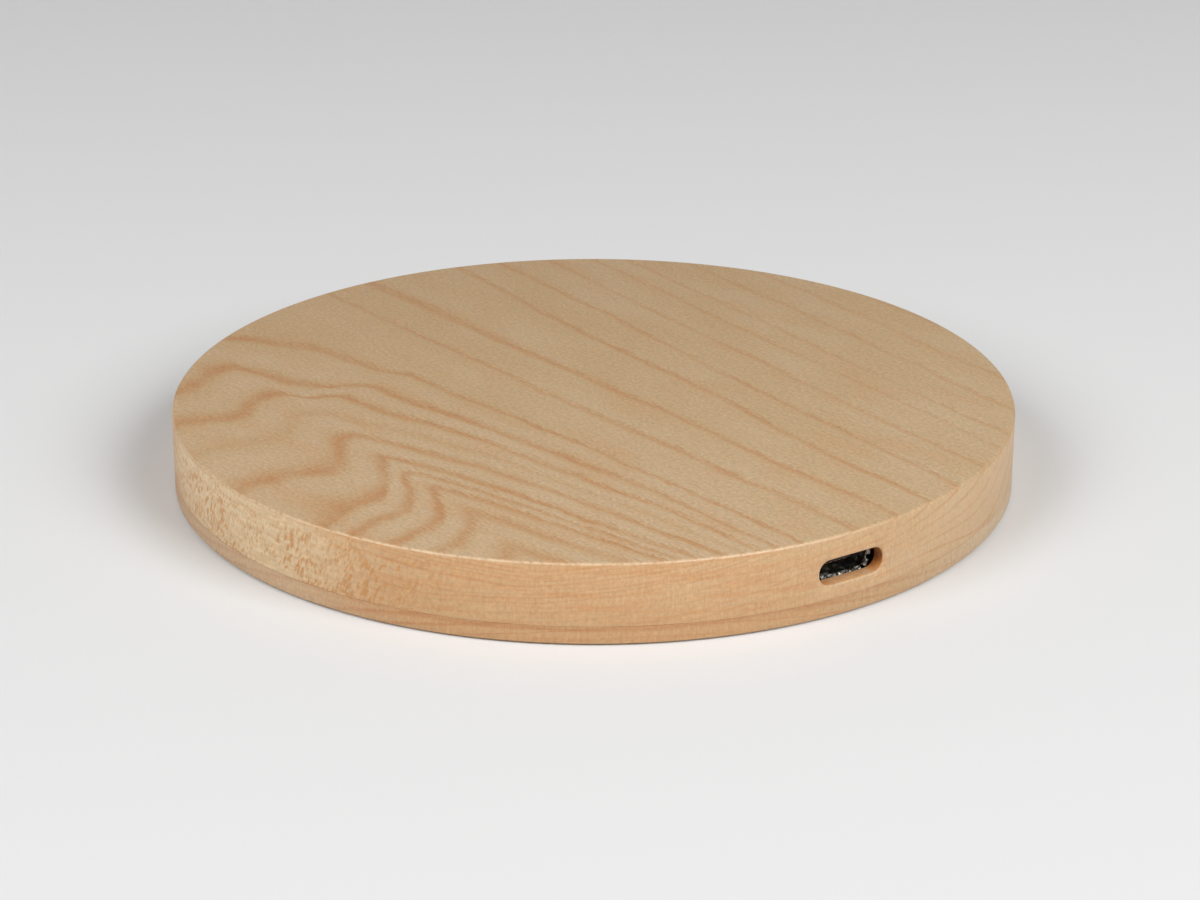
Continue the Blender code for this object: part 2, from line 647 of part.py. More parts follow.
def make_shell(surface, parent):
    """The stamped shell: a tube with lips flared at its mouth, two spring fingers and four legs."""
    bm = bmesh.new()
    stations = [
        (0, FLARE),
        (FLARE_LENGTH, 0),
        (SOCKET_DEPTH, 0),
        (SOCKET_DEPTH, -SHELL_THICKNESS),
        (FLARE_LENGTH, -SHELL_THICKNESS),
        (0, FLARE - SHELL_THICKNESS),
    ]
    loops = []
    for depth, growth in stations:
        outline = rounded(grown(socket_corners(), growth), SOCKET_CORNER + growth)
        ring = [bm.verts.new((x, depth, z)) for x, z in outline]
        loops.append([bm.edges.new(pair) for pair in zip(ring, ring[1:] + ring[:1])])
    for here, after in zip(loops, loops[1:] + loops[:1]):
        bmesh.ops.bridge_loops(bm, edges=here + after)
    bmesh.ops.recalc_face_normals(bm, faces=bm.faces)
    shell = add("socket_shell", bm, surface, parent)
    notch = FLARE + 2 * SHELL_THICKNESS
    for number, (x, z) in enumerate(grown(socket_corners(), FLARE / 2), 1):
        cut = block((notch, 1.4 * FLARE_LENGTH, notch), (x, 0, z))
        boolean(shell, add(f"cut_lip_{number}", cut, parent=parent))
    floor = -SOCKET_HEIGHT / 2
    for side in (-1, 1):
        finger = 1.2 * MM
        slit = 0.2 * MM
        centre = side * 1.75 * MM
        for edge in (-1, 1):
            place = (centre + edge * (finger + slit) / 2, 2.2 * MM, floor)
            cut = block((slit, 2.6 * MM, 3 * SHELL_THICKNESS), place)
            boolean(shell, add(f"cut_finger_{side}_{edge}", cut, parent=parent))
        cut = block((finger + 2 * slit, slit, 3 * SHELL_THICKNESS), (centre, 3.5 * MM, floor))
        boolean(shell, add(f"cut_finger_{side}_end", cut, parent=parent))
        for row, depth in enumerate((1.6 * MM, 4.3 * MM), 1):
            thick = 0.25 * MM
            leg = (side * (SOCKET_WIDTH / 2 + 0.3 * MM), depth, SOCKET_HEIGHT / 2 - thick / 2)
            tool = add(f"join_leg_{side}_{row}", block((1.0 * MM, 1.1 * MM, thick), leg), parent=parent)
            boolean(shell, tool, "UNION")
    shade(shell)


def contact_height():
    """Middle of a contact, measured from the middle of the socket."""
    return -CONTACT_THICKNESS / 2


def contact_places():
    return [(index - (CONTACT_COUNT - 1) / 2) * CONTACT_PITCH for index in range(CONTACT_COUNT)]


def make_insulator(surface, parent):
    """The moulded rear block with its tongue, channelled for the contacts."""
    inset = SHELL_THICKNESS + REST_GAP
    outline = rounded(grown(socket_corners(), -inset), SOCKET_CORNER / 3, 2)
    start = SOCKET_DEPTH - BLOCK_DEPTH
    made = add("socket_insulator", facing_front(outline, start, SOCKET_DEPTH), surface, parent)
    low = contact_height() + CONTACT_THICKNESS / 2 + REST_GAP
    size = (TONGUE_WIDTH, start - TONGUE_SETBACK + 0.4 * MM, TONGUE_THICKNESS)
    centre = (0, (start + TONGUE_SETBACK + 0.4 * MM) / 2, low + TONGUE_THICKNESS / 2)
    tongue = add("join_tongue", block(size, centre), parent=parent)
    boolean(made, tongue, "UNION")
    for number, place in enumerate(contact_places(), 1):
        size = (CONTACT_WIDTH + 2 * REST_GAP, 4 * BLOCK_DEPTH, CONTACT_THICKNESS + 2 * REST_GAP)
        cut = block(size, (place, SOCKET_DEPTH, contact_height()))
        boolean(made, add(f"cut_channel_{number}", cut, parent=parent))


def make_contacts(surface, parent):
    """Five sprung strips under the tongue. Each leaves the back and climbs to the board."""
    top = SOCKET_HEIGHT / 2
    thick = CONTACT_THICKNESS
    low = contact_height() - thick / 2
    tip = TONGUE_SETBACK + 0.3 * MM
    rear = SOCKET_DEPTH + 0.35 * MM
    outline = [
        (tip, low),
        (rear, low),
        (rear, top - thick),
        (rear + 0.7 * MM, top - thick),
        (rear + 0.7 * MM, top),
        (rear - thick, top),
        (rear - thick, low + thick),
        (tip, low + thick),
    ]
    for number, place in enumerate(contact_places(), 1):
        bm = prism(outline, -CONTACT_WIDTH / 2, CONTACT_WIDTH / 2)
        for vert in bm.verts:
            vert.co = (vert.co.z + place, vert.co.x, vert.co.y)
        bmesh.ops.recalc_face_normals(bm, faces=bm.faces)
        add(f"socket_contact_{number}", bm, surface, parent)


# Assembly --------------------------------------------------------------------------------------


def make_surfaces():
    return {
        "maple": material("maple", (0.62, 0.42, 0.25), 0.5),
        "silicone": material("silicone", (0.05, 0.05, 0.05), 0.7),
        "copper": material("litz_copper", (0.62, 0.27, 0.12), 0.4, 0.8),
        "tape": material("tape", (0.75, 0.66, 0.45), 0.5),
        "ferrite": material("ferrite", (0.05, 0.05, 0.055), 0.6),
        "foam": material("foam", (0.12, 0.12, 0.12), 0.9),
        "board": material("solder_mask", (0.02, 0.16, 0.07), 0.4),
        "moulding": material("black_moulding", (0.02, 0.02, 0.02), 0.55),
        "ceramic": material("ceramic", (0.45, 0.31, 0.2), 0.5),
        "resistor": material("resistor", (0.03, 0.03, 0.03), 0.4),
        "lamp": material("lamp_resin", (0.85, 0.82, 0.7), 0.3),
        "solder": material("solder", (0.62, 0.62, 0.6), 0.35, 1.0),
        "shell": material("tinned_steel", (0.6, 0.6, 0.58), 0.35, 1.0),
        "contact": material("gold_flash", (0.85, 0.62, 0.28), 0.3, 1.0),
    }


def build():
    for obj in list(bpy.data.objects):
        bpy.data.objects.remove(obj)
    surfaces = make_surfaces()
    pad = empty("pad")
    make_body(surfaces["maple"], pad)
    make_base(surfaces["maple"], pad)
    make_feet(surfaces["silicone"], pad)
    make_coil_stack(surfaces, pad)
    make_board(surfaces, pad)
    make_components(surfaces, pad)
    socket = empty("socket", (0, -MOUTH, SOCKET_CENTRE), parent=pad)
    make_shell(surfaces["shell"], socket)
    make_insulator(surfaces["moulding"], socket)
    make_contacts(surfaces["contact"], socket)


build()
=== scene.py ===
"""The looks of a round maple wireless charging pad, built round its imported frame.

Sizes are in millimetres until a mesh is finished, and heights are measured from the table.
"""

import math

import bmesh
import bpy
from mathutils import Matrix, Vector


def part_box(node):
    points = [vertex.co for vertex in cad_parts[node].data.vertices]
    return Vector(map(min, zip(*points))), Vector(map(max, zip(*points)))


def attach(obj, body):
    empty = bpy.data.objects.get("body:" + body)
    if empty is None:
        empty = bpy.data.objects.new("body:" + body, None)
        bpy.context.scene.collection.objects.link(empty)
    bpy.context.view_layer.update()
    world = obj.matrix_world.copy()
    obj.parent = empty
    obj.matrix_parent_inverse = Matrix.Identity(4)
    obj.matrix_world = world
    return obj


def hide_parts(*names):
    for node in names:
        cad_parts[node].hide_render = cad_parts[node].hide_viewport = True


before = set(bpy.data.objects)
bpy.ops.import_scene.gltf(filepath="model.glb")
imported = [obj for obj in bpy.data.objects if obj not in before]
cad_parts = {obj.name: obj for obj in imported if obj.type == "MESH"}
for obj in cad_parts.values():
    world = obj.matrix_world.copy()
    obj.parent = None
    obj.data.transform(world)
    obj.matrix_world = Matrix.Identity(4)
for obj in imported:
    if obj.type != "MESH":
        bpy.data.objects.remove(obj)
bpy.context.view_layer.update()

MM = 0.001

# Camera. A small telephoto lens about 0.39 m from the pad, 21 degrees above its top, with the
# socket turned 34 degrees to the right of the side that faces it.
SOCKET_TURN = math.radians(34)
CAMERA_ROLL = math.radians(0.1)
PAD_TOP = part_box("top_body")[1][2] / MM
PAD_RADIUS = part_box("top_body")[1][0] / MM
TURN_TO_SOCKET = Matrix.Rotation(-SOCKET_TURN, 3, "Z")

camera_data = bpy.data.cameras.new("camera")
camera_data.sensor_width = 36.0
camera_data.lens = 95.35
camera_data.clip_start = 0.01
camera = bpy.data.objects.new("camera", camera_data)
bpy.context.scene.collection.objects.link(camera)
eye = TURN_TO_SOCKET @ Vector((0, -359.9, 138.6)) + Vector((0, 0, PAD_TOP))
aim = TURN_TO_SOCKET @ Vector((0.74, -18.6, 0)) + Vector((0, 0, PAD_TOP))
camera.location = eye * MM
camera.rotation_euler = (aim - eye).to_track_quat("-Z", "Y").to_euler()
camera.rotation_euler.rotate_axis("Z", CAMERA_ROLL)
bpy.context.scene.camera = camera


# Top body. One piece of hard maple, turned and sanded, with a thin satin oil. Its grain runs almost
# straight towards the socket. A cathedral of wavy rings opens at one side, and ray flecks show on
# the edge where the saw ran along the rays.
GRAIN_TURN = math.radians(86)
BODY_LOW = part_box("top_body")[0][2] / MM
EDGE_ROUND = 0.4
RIM_WALL = 5.8
POCKET = PAD_RADIUS - RIM_WALL
SKIN = 2.0
BAY_FACE = PAD_RADIUS - 1.75
BAY_WIDTH = 14.2
SLOT_WIDTH = 8.8
SLOT_HEIGHT = 3.0
SLOT_CORNER = 1.38
SLOT_MIDDLE = PAD_TOP - 4.25
SLOT_CHAMFER = 0.13

MAPLE = (0.55, 0.365, 0.19)
MAPLE_CREAM = (0.61, 0.455, 0.285)
MAPLE_PINK = (0.60, 0.42, 0.26)
MAPLE_ORANGE = (0.56, 0.315, 0.145)
MAPLE_STRIPE = (0.55, 0.27, 0.115)
MAPLE_LINE = (0.495, 0.235, 0.09)
# a painted grazing reflection for the edge
PAINTED_SHEEN_CREAM = (0.69, 0.525, 0.32)
MAPLE_FLECK = (0.52, 0.245, 0.075)
# a painted highlight for the rounded top edge
PAINTED_RIM_HIGHLIGHT = (0.70, 0.54, 0.36)
RUBBED_ORANGE = (0.50, 0.27, 0.11)
SLOT_WALL_ORANGE = (0.56, 0.20, 0.035)
SLOT_WALL_DARK = (0.16, 0.042, 0.012)


class Term:
    """A number that varies over a surface. Arithmetic on it adds Math nodes."""

    def __init__(self, finish, socket):
        self.finish = finish
        self.socket = socket

    def math(self, operation, *others, swap=False):
        values = [self, *others]
        if swap:
            values.reverse()
        return self.finish.add("Math", {"operation": operation}, values)

    def __add__(self, other):
        return self.math("ADD", other)

    def __radd__(self, other):
        return self.math("ADD", other)

    def __sub__(self, other):
        return self.math("SUBTRACT", other)

    def __rsub__(self, other):
        return self.math("SUBTRACT", other, swap=True)

    def __mul__(self, other):
        return self.math("MULTIPLY", other)

    def __rmul__(self, other):
        return self.math("MULTIPLY", other)

    def __truediv__(self, other):
        return self.math("DIVIDE", other)

    def __neg__(self):
        return self.math("MULTIPLY", -1.0)

    def fraction(self):
        return self.math("FRACT")

    def larger(self, other):
        return self.math("MAXIMUM", other)

    def smaller(self, other):
        return self.math("MINIMUM", other)

    def size(self):
        return self.math("ABSOLUTE")

    def hump(self, centre, width):
        """1 at the centre, falling to 0 as a bell curve."""
        away = (self - centre) / width
        return (-(away * away)).math("EXPONENT")

    def rise(self, low, high, smooth=True):
        """0 below low, 1 above high. It falls instead where low is the larger."""
        kind = "SMOOTHSTEP" if smooth else "LINEAR"
        values = {"Value": self, "From Min": low, "From Max": high}
        return self.finish.add("MapRange", {"interpolation_type": kind, "clamp": True}, values)

    def levels(self, points):
        """Straight lines through (value, level) points."""
        total = points[0][1]
        for (low, bottom), (high, top) in zip(points, points[1:]):
            total = self.rise(low, high, smooth=False) * (top - bottom) + total
        return total


class Finish:
    """One material. All its nodes come from the method add."""

    def __init__(self, name):
        self.material = bpy.data.materials.new(name)
        self.material.use_nodes = True
        self.tree = self.material.node_tree
        self.shader = self.tree.nodes["Principled BSDF"]

    def add(self, kind, settings=(), values=(), output=0):
        """Adds a node: its settings first, then its sockets, with numbers, tuples or Terms. It
        gives back one output, or all of them where output is None."""
        node = self.tree.nodes.new("ShaderNode" + kind)
        for key, value in dict(settings).items():
            setattr(node, key, value)
        pairs = values.items() if isinstance(values, dict) else enumerate(values)
        for key, value in pairs:
            self.feed(node.inputs[key], value)
        if output is None:
            return [Term(self, socket) for socket in node.outputs]
        return Term(self, node.outputs[output])

    def feed(self, socket, value):
        if isinstance(value, Term):
            self.tree.links.new(value.socket, socket)
        elif socket.type == "RGBA" and len(value) == 3:
            socket.default_value = (*value, 1)
        else:
            socket.default_value = value

    def place(self, turn=0.0, centre=(0, 0, 0)):
        """The three coordinates in millimetres, from a centre, turned about Z."""
        spot = self.add("TexCoord", output="Object")
        shift = -(Matrix.Rotation(turn, 3, "Z") @ Vector(centre))
        values = {"Vector": spot, "Location": shift, "Rotation": (0, 0, turn), "Scale": (1 / MM,) * 3}
        moved = self.add("Mapping", {"vector_type": "POINT"}, values)
        return self.split(moved)

    def split(self, vector):
        return self.add("SeparateXYZ", values=(vector,), output=None)

    def spot(self, x, y, z):
        return self.add("CombineXYZ", values=(x, y, z))

    def noise(self, vector, scale=1.0, detail=2.0, rough=0.5, output="Fac"):
        values = {"Vector": vector, "Scale": scale, "Detail": detail, "Roughness": rough}
        return self.add("TexNoise", {"noise_dimensions": "3D"}, values, output)

    def cells(self, vector, scale=1.0, feature="F1"):
        return self.add("TexVoronoi", {"feature": feature}, {"Vector": vector, "Scale": scale})

    def blend(self, factor, first, second, mode="MIX"):
        """Mixes two colours, given as tuples or Terms."""
        settings = {"data_type": "RGBA", "blend_type": mode}
        return self.add("Mix", settings, {0: factor, 6: first, 7: second}, output=2)

    def bump(self, height, distance, strength=1.0, under=None):
        """Relief of that many millimetres, laid over other relief if there is any under it."""
        values = {"Height": height, "Distance": distance * MM, "Strength": strength}
        if under is not None:
            values["Normal"] = under
        return self.add("Bump", values=values)

    def done(self, **sockets):
        """Feeds the shader. A name's words are joined by _, as in Base_Color."""
        for key, value in sockets.items():
            self.feed(self.shader.inputs[key.replace("_", " ")], value)
        return self.material


def finish_piece(name, bm, material, node, smooth=40):
    """Turns a bmesh in millimetres into a piece that rides on the pad and stands for its node."""
    bmesh.ops.remove_doubles(bm, verts=bm.verts, dist=1e-4)
    bmesh.ops.recalc_face_normals(bm, faces=bm.faces)
    bmesh.ops.scale(bm, vec=(MM, MM, MM), verts=bm.verts)
    mesh = bpy.data.meshes.new(name)
    bm.to_mesh(mesh)
    bm.free()
    mesh.shade_smooth()
    mesh.set_sharp_from_angle(angle=math.radians(smooth))
    piece = bpy.data.objects.new(name, mesh)
    bpy.context.scene.collection.objects.link(piece)
    mesh.materials.append(material)
    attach(piece, "root")
    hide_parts(node)


def turned(profile, steps):
    """A bmesh turned about Z from (radius, height) points."""
    bm = bmesh.new()
    verts = [bm.verts.new((radius, 0, height)) for radius, height in profile]
    edges = [bm.edges.new(pair) for pair in zip(verts, verts[1:])]
    around = {"cent": (0, 0, 0), "axis": (0, 0, 1), "angle": math.tau}
    bmesh.ops.spin(bm, geom=verts + edges, steps=steps, use_merge=True, **around)
    bmesh.ops.remove_doubles(bm, verts=bm.verts, dist=1e-4)
    bmesh.ops.recalc_face_normals(bm, faces=bm.faces)
    return bm


def quarter(radius, height, size, start, steps=5):
    """Points on a quarter circle of that size about (radius, height), clockwise from an angle."""
    angles = [math.radians(start - 90 * step / steps) for step in range(steps + 1)]
    return [(radius + size * math.cos(a), height + size * math.sin(a)) for a in angles]


def cut_away(bm, *tools):
    """The first bmesh with the others cut from it, as a new bmesh."""
    objects = []
    for piece in (bm, *tools):
        mesh = bpy.data.meshes.new("cut")
        piece.to_mesh(mesh)
        piece.free()
        objects.append(bpy.data.objects.new("cut", mesh))
        bpy.context.scene.collection.objects.link(objects[-1])
    for tool in objects[1:]:
        modifier = objects[0].modifiers.new("cut", "BOOLEAN")
        modifier.solver = "EXACT"
        modifier.object = tool
    ready = objects[0].evaluated_get(bpy.context.evaluated_depsgraph_get())
    result = bmesh.new()
    result.from_mesh(ready.to_mesh())
    for item in objects:
        mesh = item.data
        bpy.data.objects.remove(item)
        bpy.data.meshes.remove(mesh)
    return result


def slot_outline(grow):
    """The slot's outline in X and Z, counter-clockwise, moved out by a distance."""
    width = SLOT_WIDTH / 2 - SLOT_CORNER
    height = SLOT_HEIGHT / 2 - SLOT_CORNER
    reach = SLOT_CORNER + grow
    outline = []
    for start, (side, up) in enumerate(((1, 1), (-1, 1), (-1, -1), (1, -1))):
        for step in range(9):
            angle = math.radians(start * 90 + 90 * step / 8)
            outline.append((side * width + reach * math.cos(angle), up * height + reach * math.sin(angle)))
    return outline


def slot_cutter():
    """The milled slot. Its chamfer follows the round edge of the pad."""
    bm = bmesh.new()
    rings = []
    for depth, grow in ((-1.0, 1.2), (0.0, 0.14), (0.05, 0.06), (SLOT_CHAMFER, 0.0), (2.6, 0.0)):
        ring = []
        for x, z in slot_outline(grow):
            edge = -math.sqrt(PAD_RADIUS**2 - x**2)
            ring.append(bm.verts.new((x, edge + depth, SLOT_MIDDLE + z)))
        rings.append([bm.edges.new(pair) for pair in zip(ring, ring[1:] + ring[:1])])
    for here, after in zip(rings, rings[1:]):
        bmesh.ops.bridge_loops(bm, edges=here + after)
    bmesh.ops.holes_fill(bm, edges=rings[0] + rings[-1], sides=len(rings[0]))
    bmesh.ops.recalc_face_normals(bm, faces=bm.faces)
    return bm


def bay_cutter():
    """The room behind the slot, open to the pocket."""
    bm = bmesh.new()
    bmesh.ops.create_cube(bm, size=1)
    bmesh.ops.scale(bm, vec=(BAY_WIDTH, 12, 8), verts=bm.verts)
    bmesh.ops.translate(bm, vec=(0, 6 - BAY_FACE, PAD_TOP - SKIN - 4), verts=bm.verts)
    return bm


class Wood(Finish):
    """Maple that knows its place in the board: along the grain, across it and down from the top."""

    def __init__(self, name, turn):
        super().__init__(name)
        self.along, self.across, self.height = self.place(turn)
        self.depth = PAD_TOP - self.height
        self.normal = self.split(self.add("NewGeometry", output="Normal"))
        self.edge = self.normal[2].size().rise(0.8, 0.4)
        self.facing = self.normal[0].size()
        self.fibre = self.streaks(2.6, 0.22, 0.5, detail=3.0, rough=0.62)
        self.mottle = self.streaks(0.55, 0.4, 0.4, detail=3.0, rough=0.65)
        self.band = self.streaks(9, 9, 0.55, detail=3.0, rough=0.6)

    def streaks(self, along, across, depth, shift=0.0, detail=2.0, rough=0.5):
        """Noise stretched over so many millimetres along the grain, across it and down."""
        spot = self.spot(self.along / along, self.across / across, self.depth / depth + shift)
        return self.noise(spot, 1.0, detail, rough)

    def warped(self):
        """The place, bent slowly over the whole board and quickly over a few millimetres."""
        along, across = self.along, self.across
        for spread, bend in (((26, 9, 5), (3.2, 2.6)), ((5, 2.6, 3), (1.6, 0.9))):
            spot = self.spot(self.along / spread[0], self.across / spread[1], self.height / spread[2])
            first, second, _ = self.split(self.noise(spot, output="Color"))
            along = along + (first - 0.5) * bend[0]
            across = across + (second - 0.5) * bend[1]
        return along, across


def pad_rings(along, across, depth):
    """Growth rings of the body: whole numbers lie on the dark lines. Long arms run beside the
    stems of a cathedral, whose rings turn sharply at its apex."""
    low = across.rise(-8, -28, smooth=False)
    reach = (20 - along).levels(
        [(-40, -10), (30, 8.1), (38, 8.7), (42, 12), (46, 13), (51, 13.6), (57, 15), (63, 16), (80, 18.5)]
    )
    tilt = across.rise(-2, 12) * 0.088 - 0.03
    shifted = across + reach * low + tilt * (along - 20) * across.rise(-14, 0)
    arm_lines = [(-60, -5.5), (-48, -3.2), (-38, -1), (-33, 0), (-29.7, 1), (-28.2, 2), (-26.5, 3), (-23, 4)]
    arm_lines += [(-20, 5), (-17.3, 6), (-14.7, 7), (-11.2, 8), (-3.9, 9), (2.6, 10), (10.3, 11), (16, 12)]
    arm_lines += [(22, 13), (27.5, 14), (31.2, 15), (37, 16), (43, 17), (130, 31)]
    arms = (shifted + depth * (6.0 - across.rise(-2, 25) * 4.2)).levels(arm_lines)
    apex = across.hump(-31.5, 3.6) * (along.rise(-25, 0) * 4.9 + 2.6)
    lean = (across + 38).smaller(0.0) * along.rise(3, 13) * 0.6
    wave = ((across + 31) / 3.4).math("SINE") * across.rise(-33, -40) * 1.6
    stem_lines = [(-180, 22), (-45, 8), (-32, 7), (-21, 6), (-10, 4.8), (0, 4), (9.5, 3), (14, 2), (19.5, 1)]
    stem_lines += [(25, 0), (40, -2), (60, -4)]
    stems = (along + apex + lean + wave - depth * 11).levels(stem_lines)
    return stems.math("SMOOTH_MAX", arms, 0.35)


def late_wood(wood, ring, patchy):
    """The dark line that ends each ring: sharp on one side, fading on the other, broken along it.
    On the edge most of the lines are fainter than on the flat."""
    phase = ring.fraction()
    width = ring.levels(
        [(-6, 0.42), (3, 0.42), (7, 0.33), (7.8, 0.22), (8, 0.11), (8.9, 0.13), (9, 0.17), (20, 0.15)]
    )
    fading = (phase / width).rise(1.0, 0.0)
    fading = fading * (fading * 0.7 + 0.3)
    sharp = ((1 - phase) / width).rise(0.7, 0.0)
    strengths = [(-6, 0.4), (0, 0.7), (1, 1), (4, 0.95), (4.6, 0.3), (5.4, 0.3), (5.7, 1), (8.4, 1), (9, 0.8)]
    strength = ring.levels([*strengths, (11, 0.85), (13, 0.6), (20, 0.45)])
    fourth = ((ring / 4).fraction() - 0.5).size().rise(0.2, 0.35)
    lost = wood.edge * (0.42 - fourth * 0.35 - wood.across.rise(-5, 20) * 0.6)
    return fading.larger(sharp) * (patchy * 0.5 + 0.5) * strength * (1 - lost) * (0.6 + wood.fibre * 0.8)


def ray_flecks(wood):
    """Rays seen side-on: leaning dashes, long ones in clumps and short ones among them."""
    ragged = wood.streaks(0.6, 2, 0.6) - 0.5
    leaning = wood.spot(wood.along / 0.48 + wood.depth * 0.8 + ragged, wood.across / 3, wood.depth / 1.5)
    long_ray = wood.cells(leaning) + ragged * 0.8
    clump = wood.streaks(5.5, 6.0, 1.9).rise(0.36, 0.55) * wood.depth.rise(0.5, 2.0)
    long_dash = long_ray.rise(0.5, 0.3) * wood.facing.rise(0.72, 0.88) * clump
    down = wood.depth / 0.8 + ragged * 0.6
    leaning = wood.spot(wood.along / 0.36 + wood.depth * 0.9, wood.across / 2, down)
    short_ray = wood.cells(leaning) + ragged * 0.6
    spread = wood.streaks(4, 6, 2.4, shift=7).rise(0.34, 0.6)
    short_dash = short_ray.rise(0.5, 0.2) * wood.facing.rise(0.66, 0.86) * spread
    return long_dash.larger(short_dash * 0.75)


def body_marks(wood, tan):
    """Where the edge faces across the grain it is painted cream, as a grazing reflection, with flecks."""
    pale = wood.streaks(3.0, 5, 0.5, detail=3.0).rise(0.25, 0.65)
    across_grain_sheen = wood.facing.rise(0.85, 0.99) * wood.edge
    tan = wood.blend(across_grain_sheen * (pale * 0.5 + 0.45), tan, PAINTED_SHEEN_CREAM)
    return wood.blend(ray_flecks(wood) * 0.85, tan, MAPLE_FLECK)


def tint_slot_walls(wood, tan):
    """The slot's walls are tinted orange, and darker high at its ends; the tint is strongest at its ends and
    least on the flat below the socket.
    """
    x, y, z = wood.place()
    inward = PAD_RADIUS - (x * x + y * y).math("SQRT")
    sideways = x.size()
    high = z - SLOT_MIDDLE
    inside = inward.rise(0.08, 0.3) * inward.rise(5, 4) * sideways.rise(4.9, 4.6)
    inside = inside * high.size().rise(1.8, 1.65)
    slot_blotches = wood.noise(wood.spot(x / 1.2, y / 0.8, z / 0.7), 1.0, 3.0).rise(0.3, 0.7)
    tan = wood.blend(inside * (sideways.rise(2.6, 3.6) * 0.5 + slot_blotches * 0.25 + 0.2), tan, SLOT_WALL_ORANGE)
    end_wall = sideways.rise(3.0, 3.9) * high.rise(-1.1, 0.3)
    return inside, wood.blend(inside * end_wall * (slot_blotches * 0.3 + 0.55), tan, SLOT_WALL_DARK)


def maple(name, rings, turn, tone, marks):
    """Sanded maple. The rings are a function of the place in the wood, and the marks of its own."""
    wood = Wood(name, turn)
    edge, fibre, mottle, band = wood.edge, wood.fibre, wood.mottle, wood.band
    rightwards, _, upwards = wood.normal
    patchy = wood.streaks(12, 3, 3, detail=3.0).rise(0.25, 0.7)
    along, across = wood.warped()
    ring = rings(along, across + (fibre - 0.5) * 2.4 + (mottle - 0.5) * 0.8, wood.depth)
    line = late_wood(wood, ring, patchy)
    # cloudy patches, a paler middle to each ring, and an edge more orange than the top.
    # The cream growing along the grain towards the socket, and the edge's orange fading at the right,
    # are painted grazing reflection.
    cloud = wood.streaks(22, 9, 9, detail=3.0).rise(0.3, 0.7)
    early = ring.fraction().hump(0.5, 0.25) * ring.rise(9.5, 7) * 0.5
    blush = wood.streaks(13, 4, 4, shift=9, detail=3.0).rise(0.45, 0.7)
    # the edge's orange fades where it faces right: a painted grazing reflection
    side = edge * (1 - rightwards.rise(-0.4, 0.5) * 0.8)
    # the cloud is the wood's own colour; the share that grows along the grain is painted grazing reflection
    tan = wood.blend((cloud * 0.4 + wood.along * 0.004).larger(0.0), MAPLE, MAPLE_CREAM)
    tan = wood.blend(early * (1 - edge), tan, MAPLE_PINK)
    tan = wood.blend((blush * 0.35).larger(side * (0.5 + band.rise(0.3, 0.7) * 0.5)), tan, MAPLE_ORANGE)
    tan = wood.blend(band.rise(0.52, 0.7) * side * 0.4, tan, MAPLE_STRIPE)
    tan = wood.blend(line * 0.86, tan, MAPLE_LINE)
    tan = marks(wood, tan)
    # long fibres, short darker vessels and, on the edge, faint hairs standing up it, with painted shade where
    # the edge faces right
    vessel = wood.streaks(0.9, 0.13, 0.3, detail=1.0).rise(0.66, 0.78)
    hair = wood.streaks(0.26, 0.22, 2.6)
    grain = (fibre - 0.5) * 0.4 + (mottle - 0.5) * (0.8 - edge * 0.45) - vessel * (0.16 - edge * 0.12)
    hairs_and_painted_shade = (hair - 0.5) * edge * (0.1 + patchy * 0.2) - rightwards.rise(-0.4, 0.4) * edge * 0.05
    shade = grain + hairs_and_painted_shade + tone
    tan = wood.blend(1.0, tan, wood.spot(shade, shade, shade), "MULTIPLY")
    # the rounded edge is painted pale where it faces front and left, as a painted highlight, and sanding has
    # rubbed it orange at the right
    rubbed = upwards.hump(0.62, 0.2) * wood.depth.rise(0.6, 0.2) * mottle.rise(0.3, 0.55)
    tan = wood.blend(rubbed * rightwards.rise(0.1, -0.2) * 0.7, tan, PAINTED_RIM_HIGHLIGHT)
    tan = wood.blend(rubbed * rightwards.rise(0.2, 0.5) * 0.6, tan, RUBBED_ORANGE)
    inside, tan = tint_slot_walls(wood, tan)
    rough = 0.47 + (fibre - 0.5) * 0.16 + line * 0.05 + inside * 0.25
    height = fibre * 0.6 + vessel * -0.8 + mottle * 0.3
    return wood.done(Base_Color=tan, Roughness=rough, Normal=wood.bump(height, 0.02, 0.35), IOR=1.5)


top_edge = quarter(PAD_RADIUS - EDGE_ROUND, PAD_TOP - EDGE_ROUND, EDGE_ROUND, 90)
joint_edge = quarter(PAD_RADIUS - 0.04, BODY_LOW, 0.04, 0, 2)
body_profile = [(0, PAD_TOP), *top_edge, *joint_edge]
body_profile += [(POCKET, joint_edge[-1][1]), (POCKET, PAD_TOP - SKIN), (0, PAD_TOP - SKIN)]
body_mesh = cut_away(turned(body_profile, 240), bay_cutter(), slot_cutter())
body_look = maple("maple_body", pad_rings, GRAIN_TURN, 1.0, body_marks)
finish_piece("top_body_maple", body_mesh, body_look, "top_body")


# Base disc. A second, thinner disc of maple, glued under the body, with a grain of its own and
# four shallow recesses for the feet.
BASE_LOW, BASE_HIGH = (corner[2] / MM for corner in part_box("base_disc"))
BASE_GRAIN_TURN = math.radians(-56)
BASE_TONE = 0.88
# painted shade for the base's front band, and a painted grazing reflection for its ends
BASE_PAINTED_SHADE = (0.44, 0.20, 0.08)
PAINTED_SHEEN_PALE = (0.66, 0.52, 0.37)
JOINT = BODY_LOW - 0.06
RECESS_PLAY = 0.3
FOOT_NAMES = [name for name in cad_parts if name.startswith("foot_")]
FOOT_RADIUS = (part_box("foot_1")[1][0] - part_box("foot_1")[0][0]) / 2 / MM
FOOT_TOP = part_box("foot_1")[1][2] / MM


def base_rings(along, across, depth):
    """Growth rings of the base, cut flat through the rings, so that they arch over its edge."""
    reach = (across + 6.5) / 14
    return (depth - 7.5) * 0.8 + 8 - reach * reach / (reach.size() * 0.35 + 1)


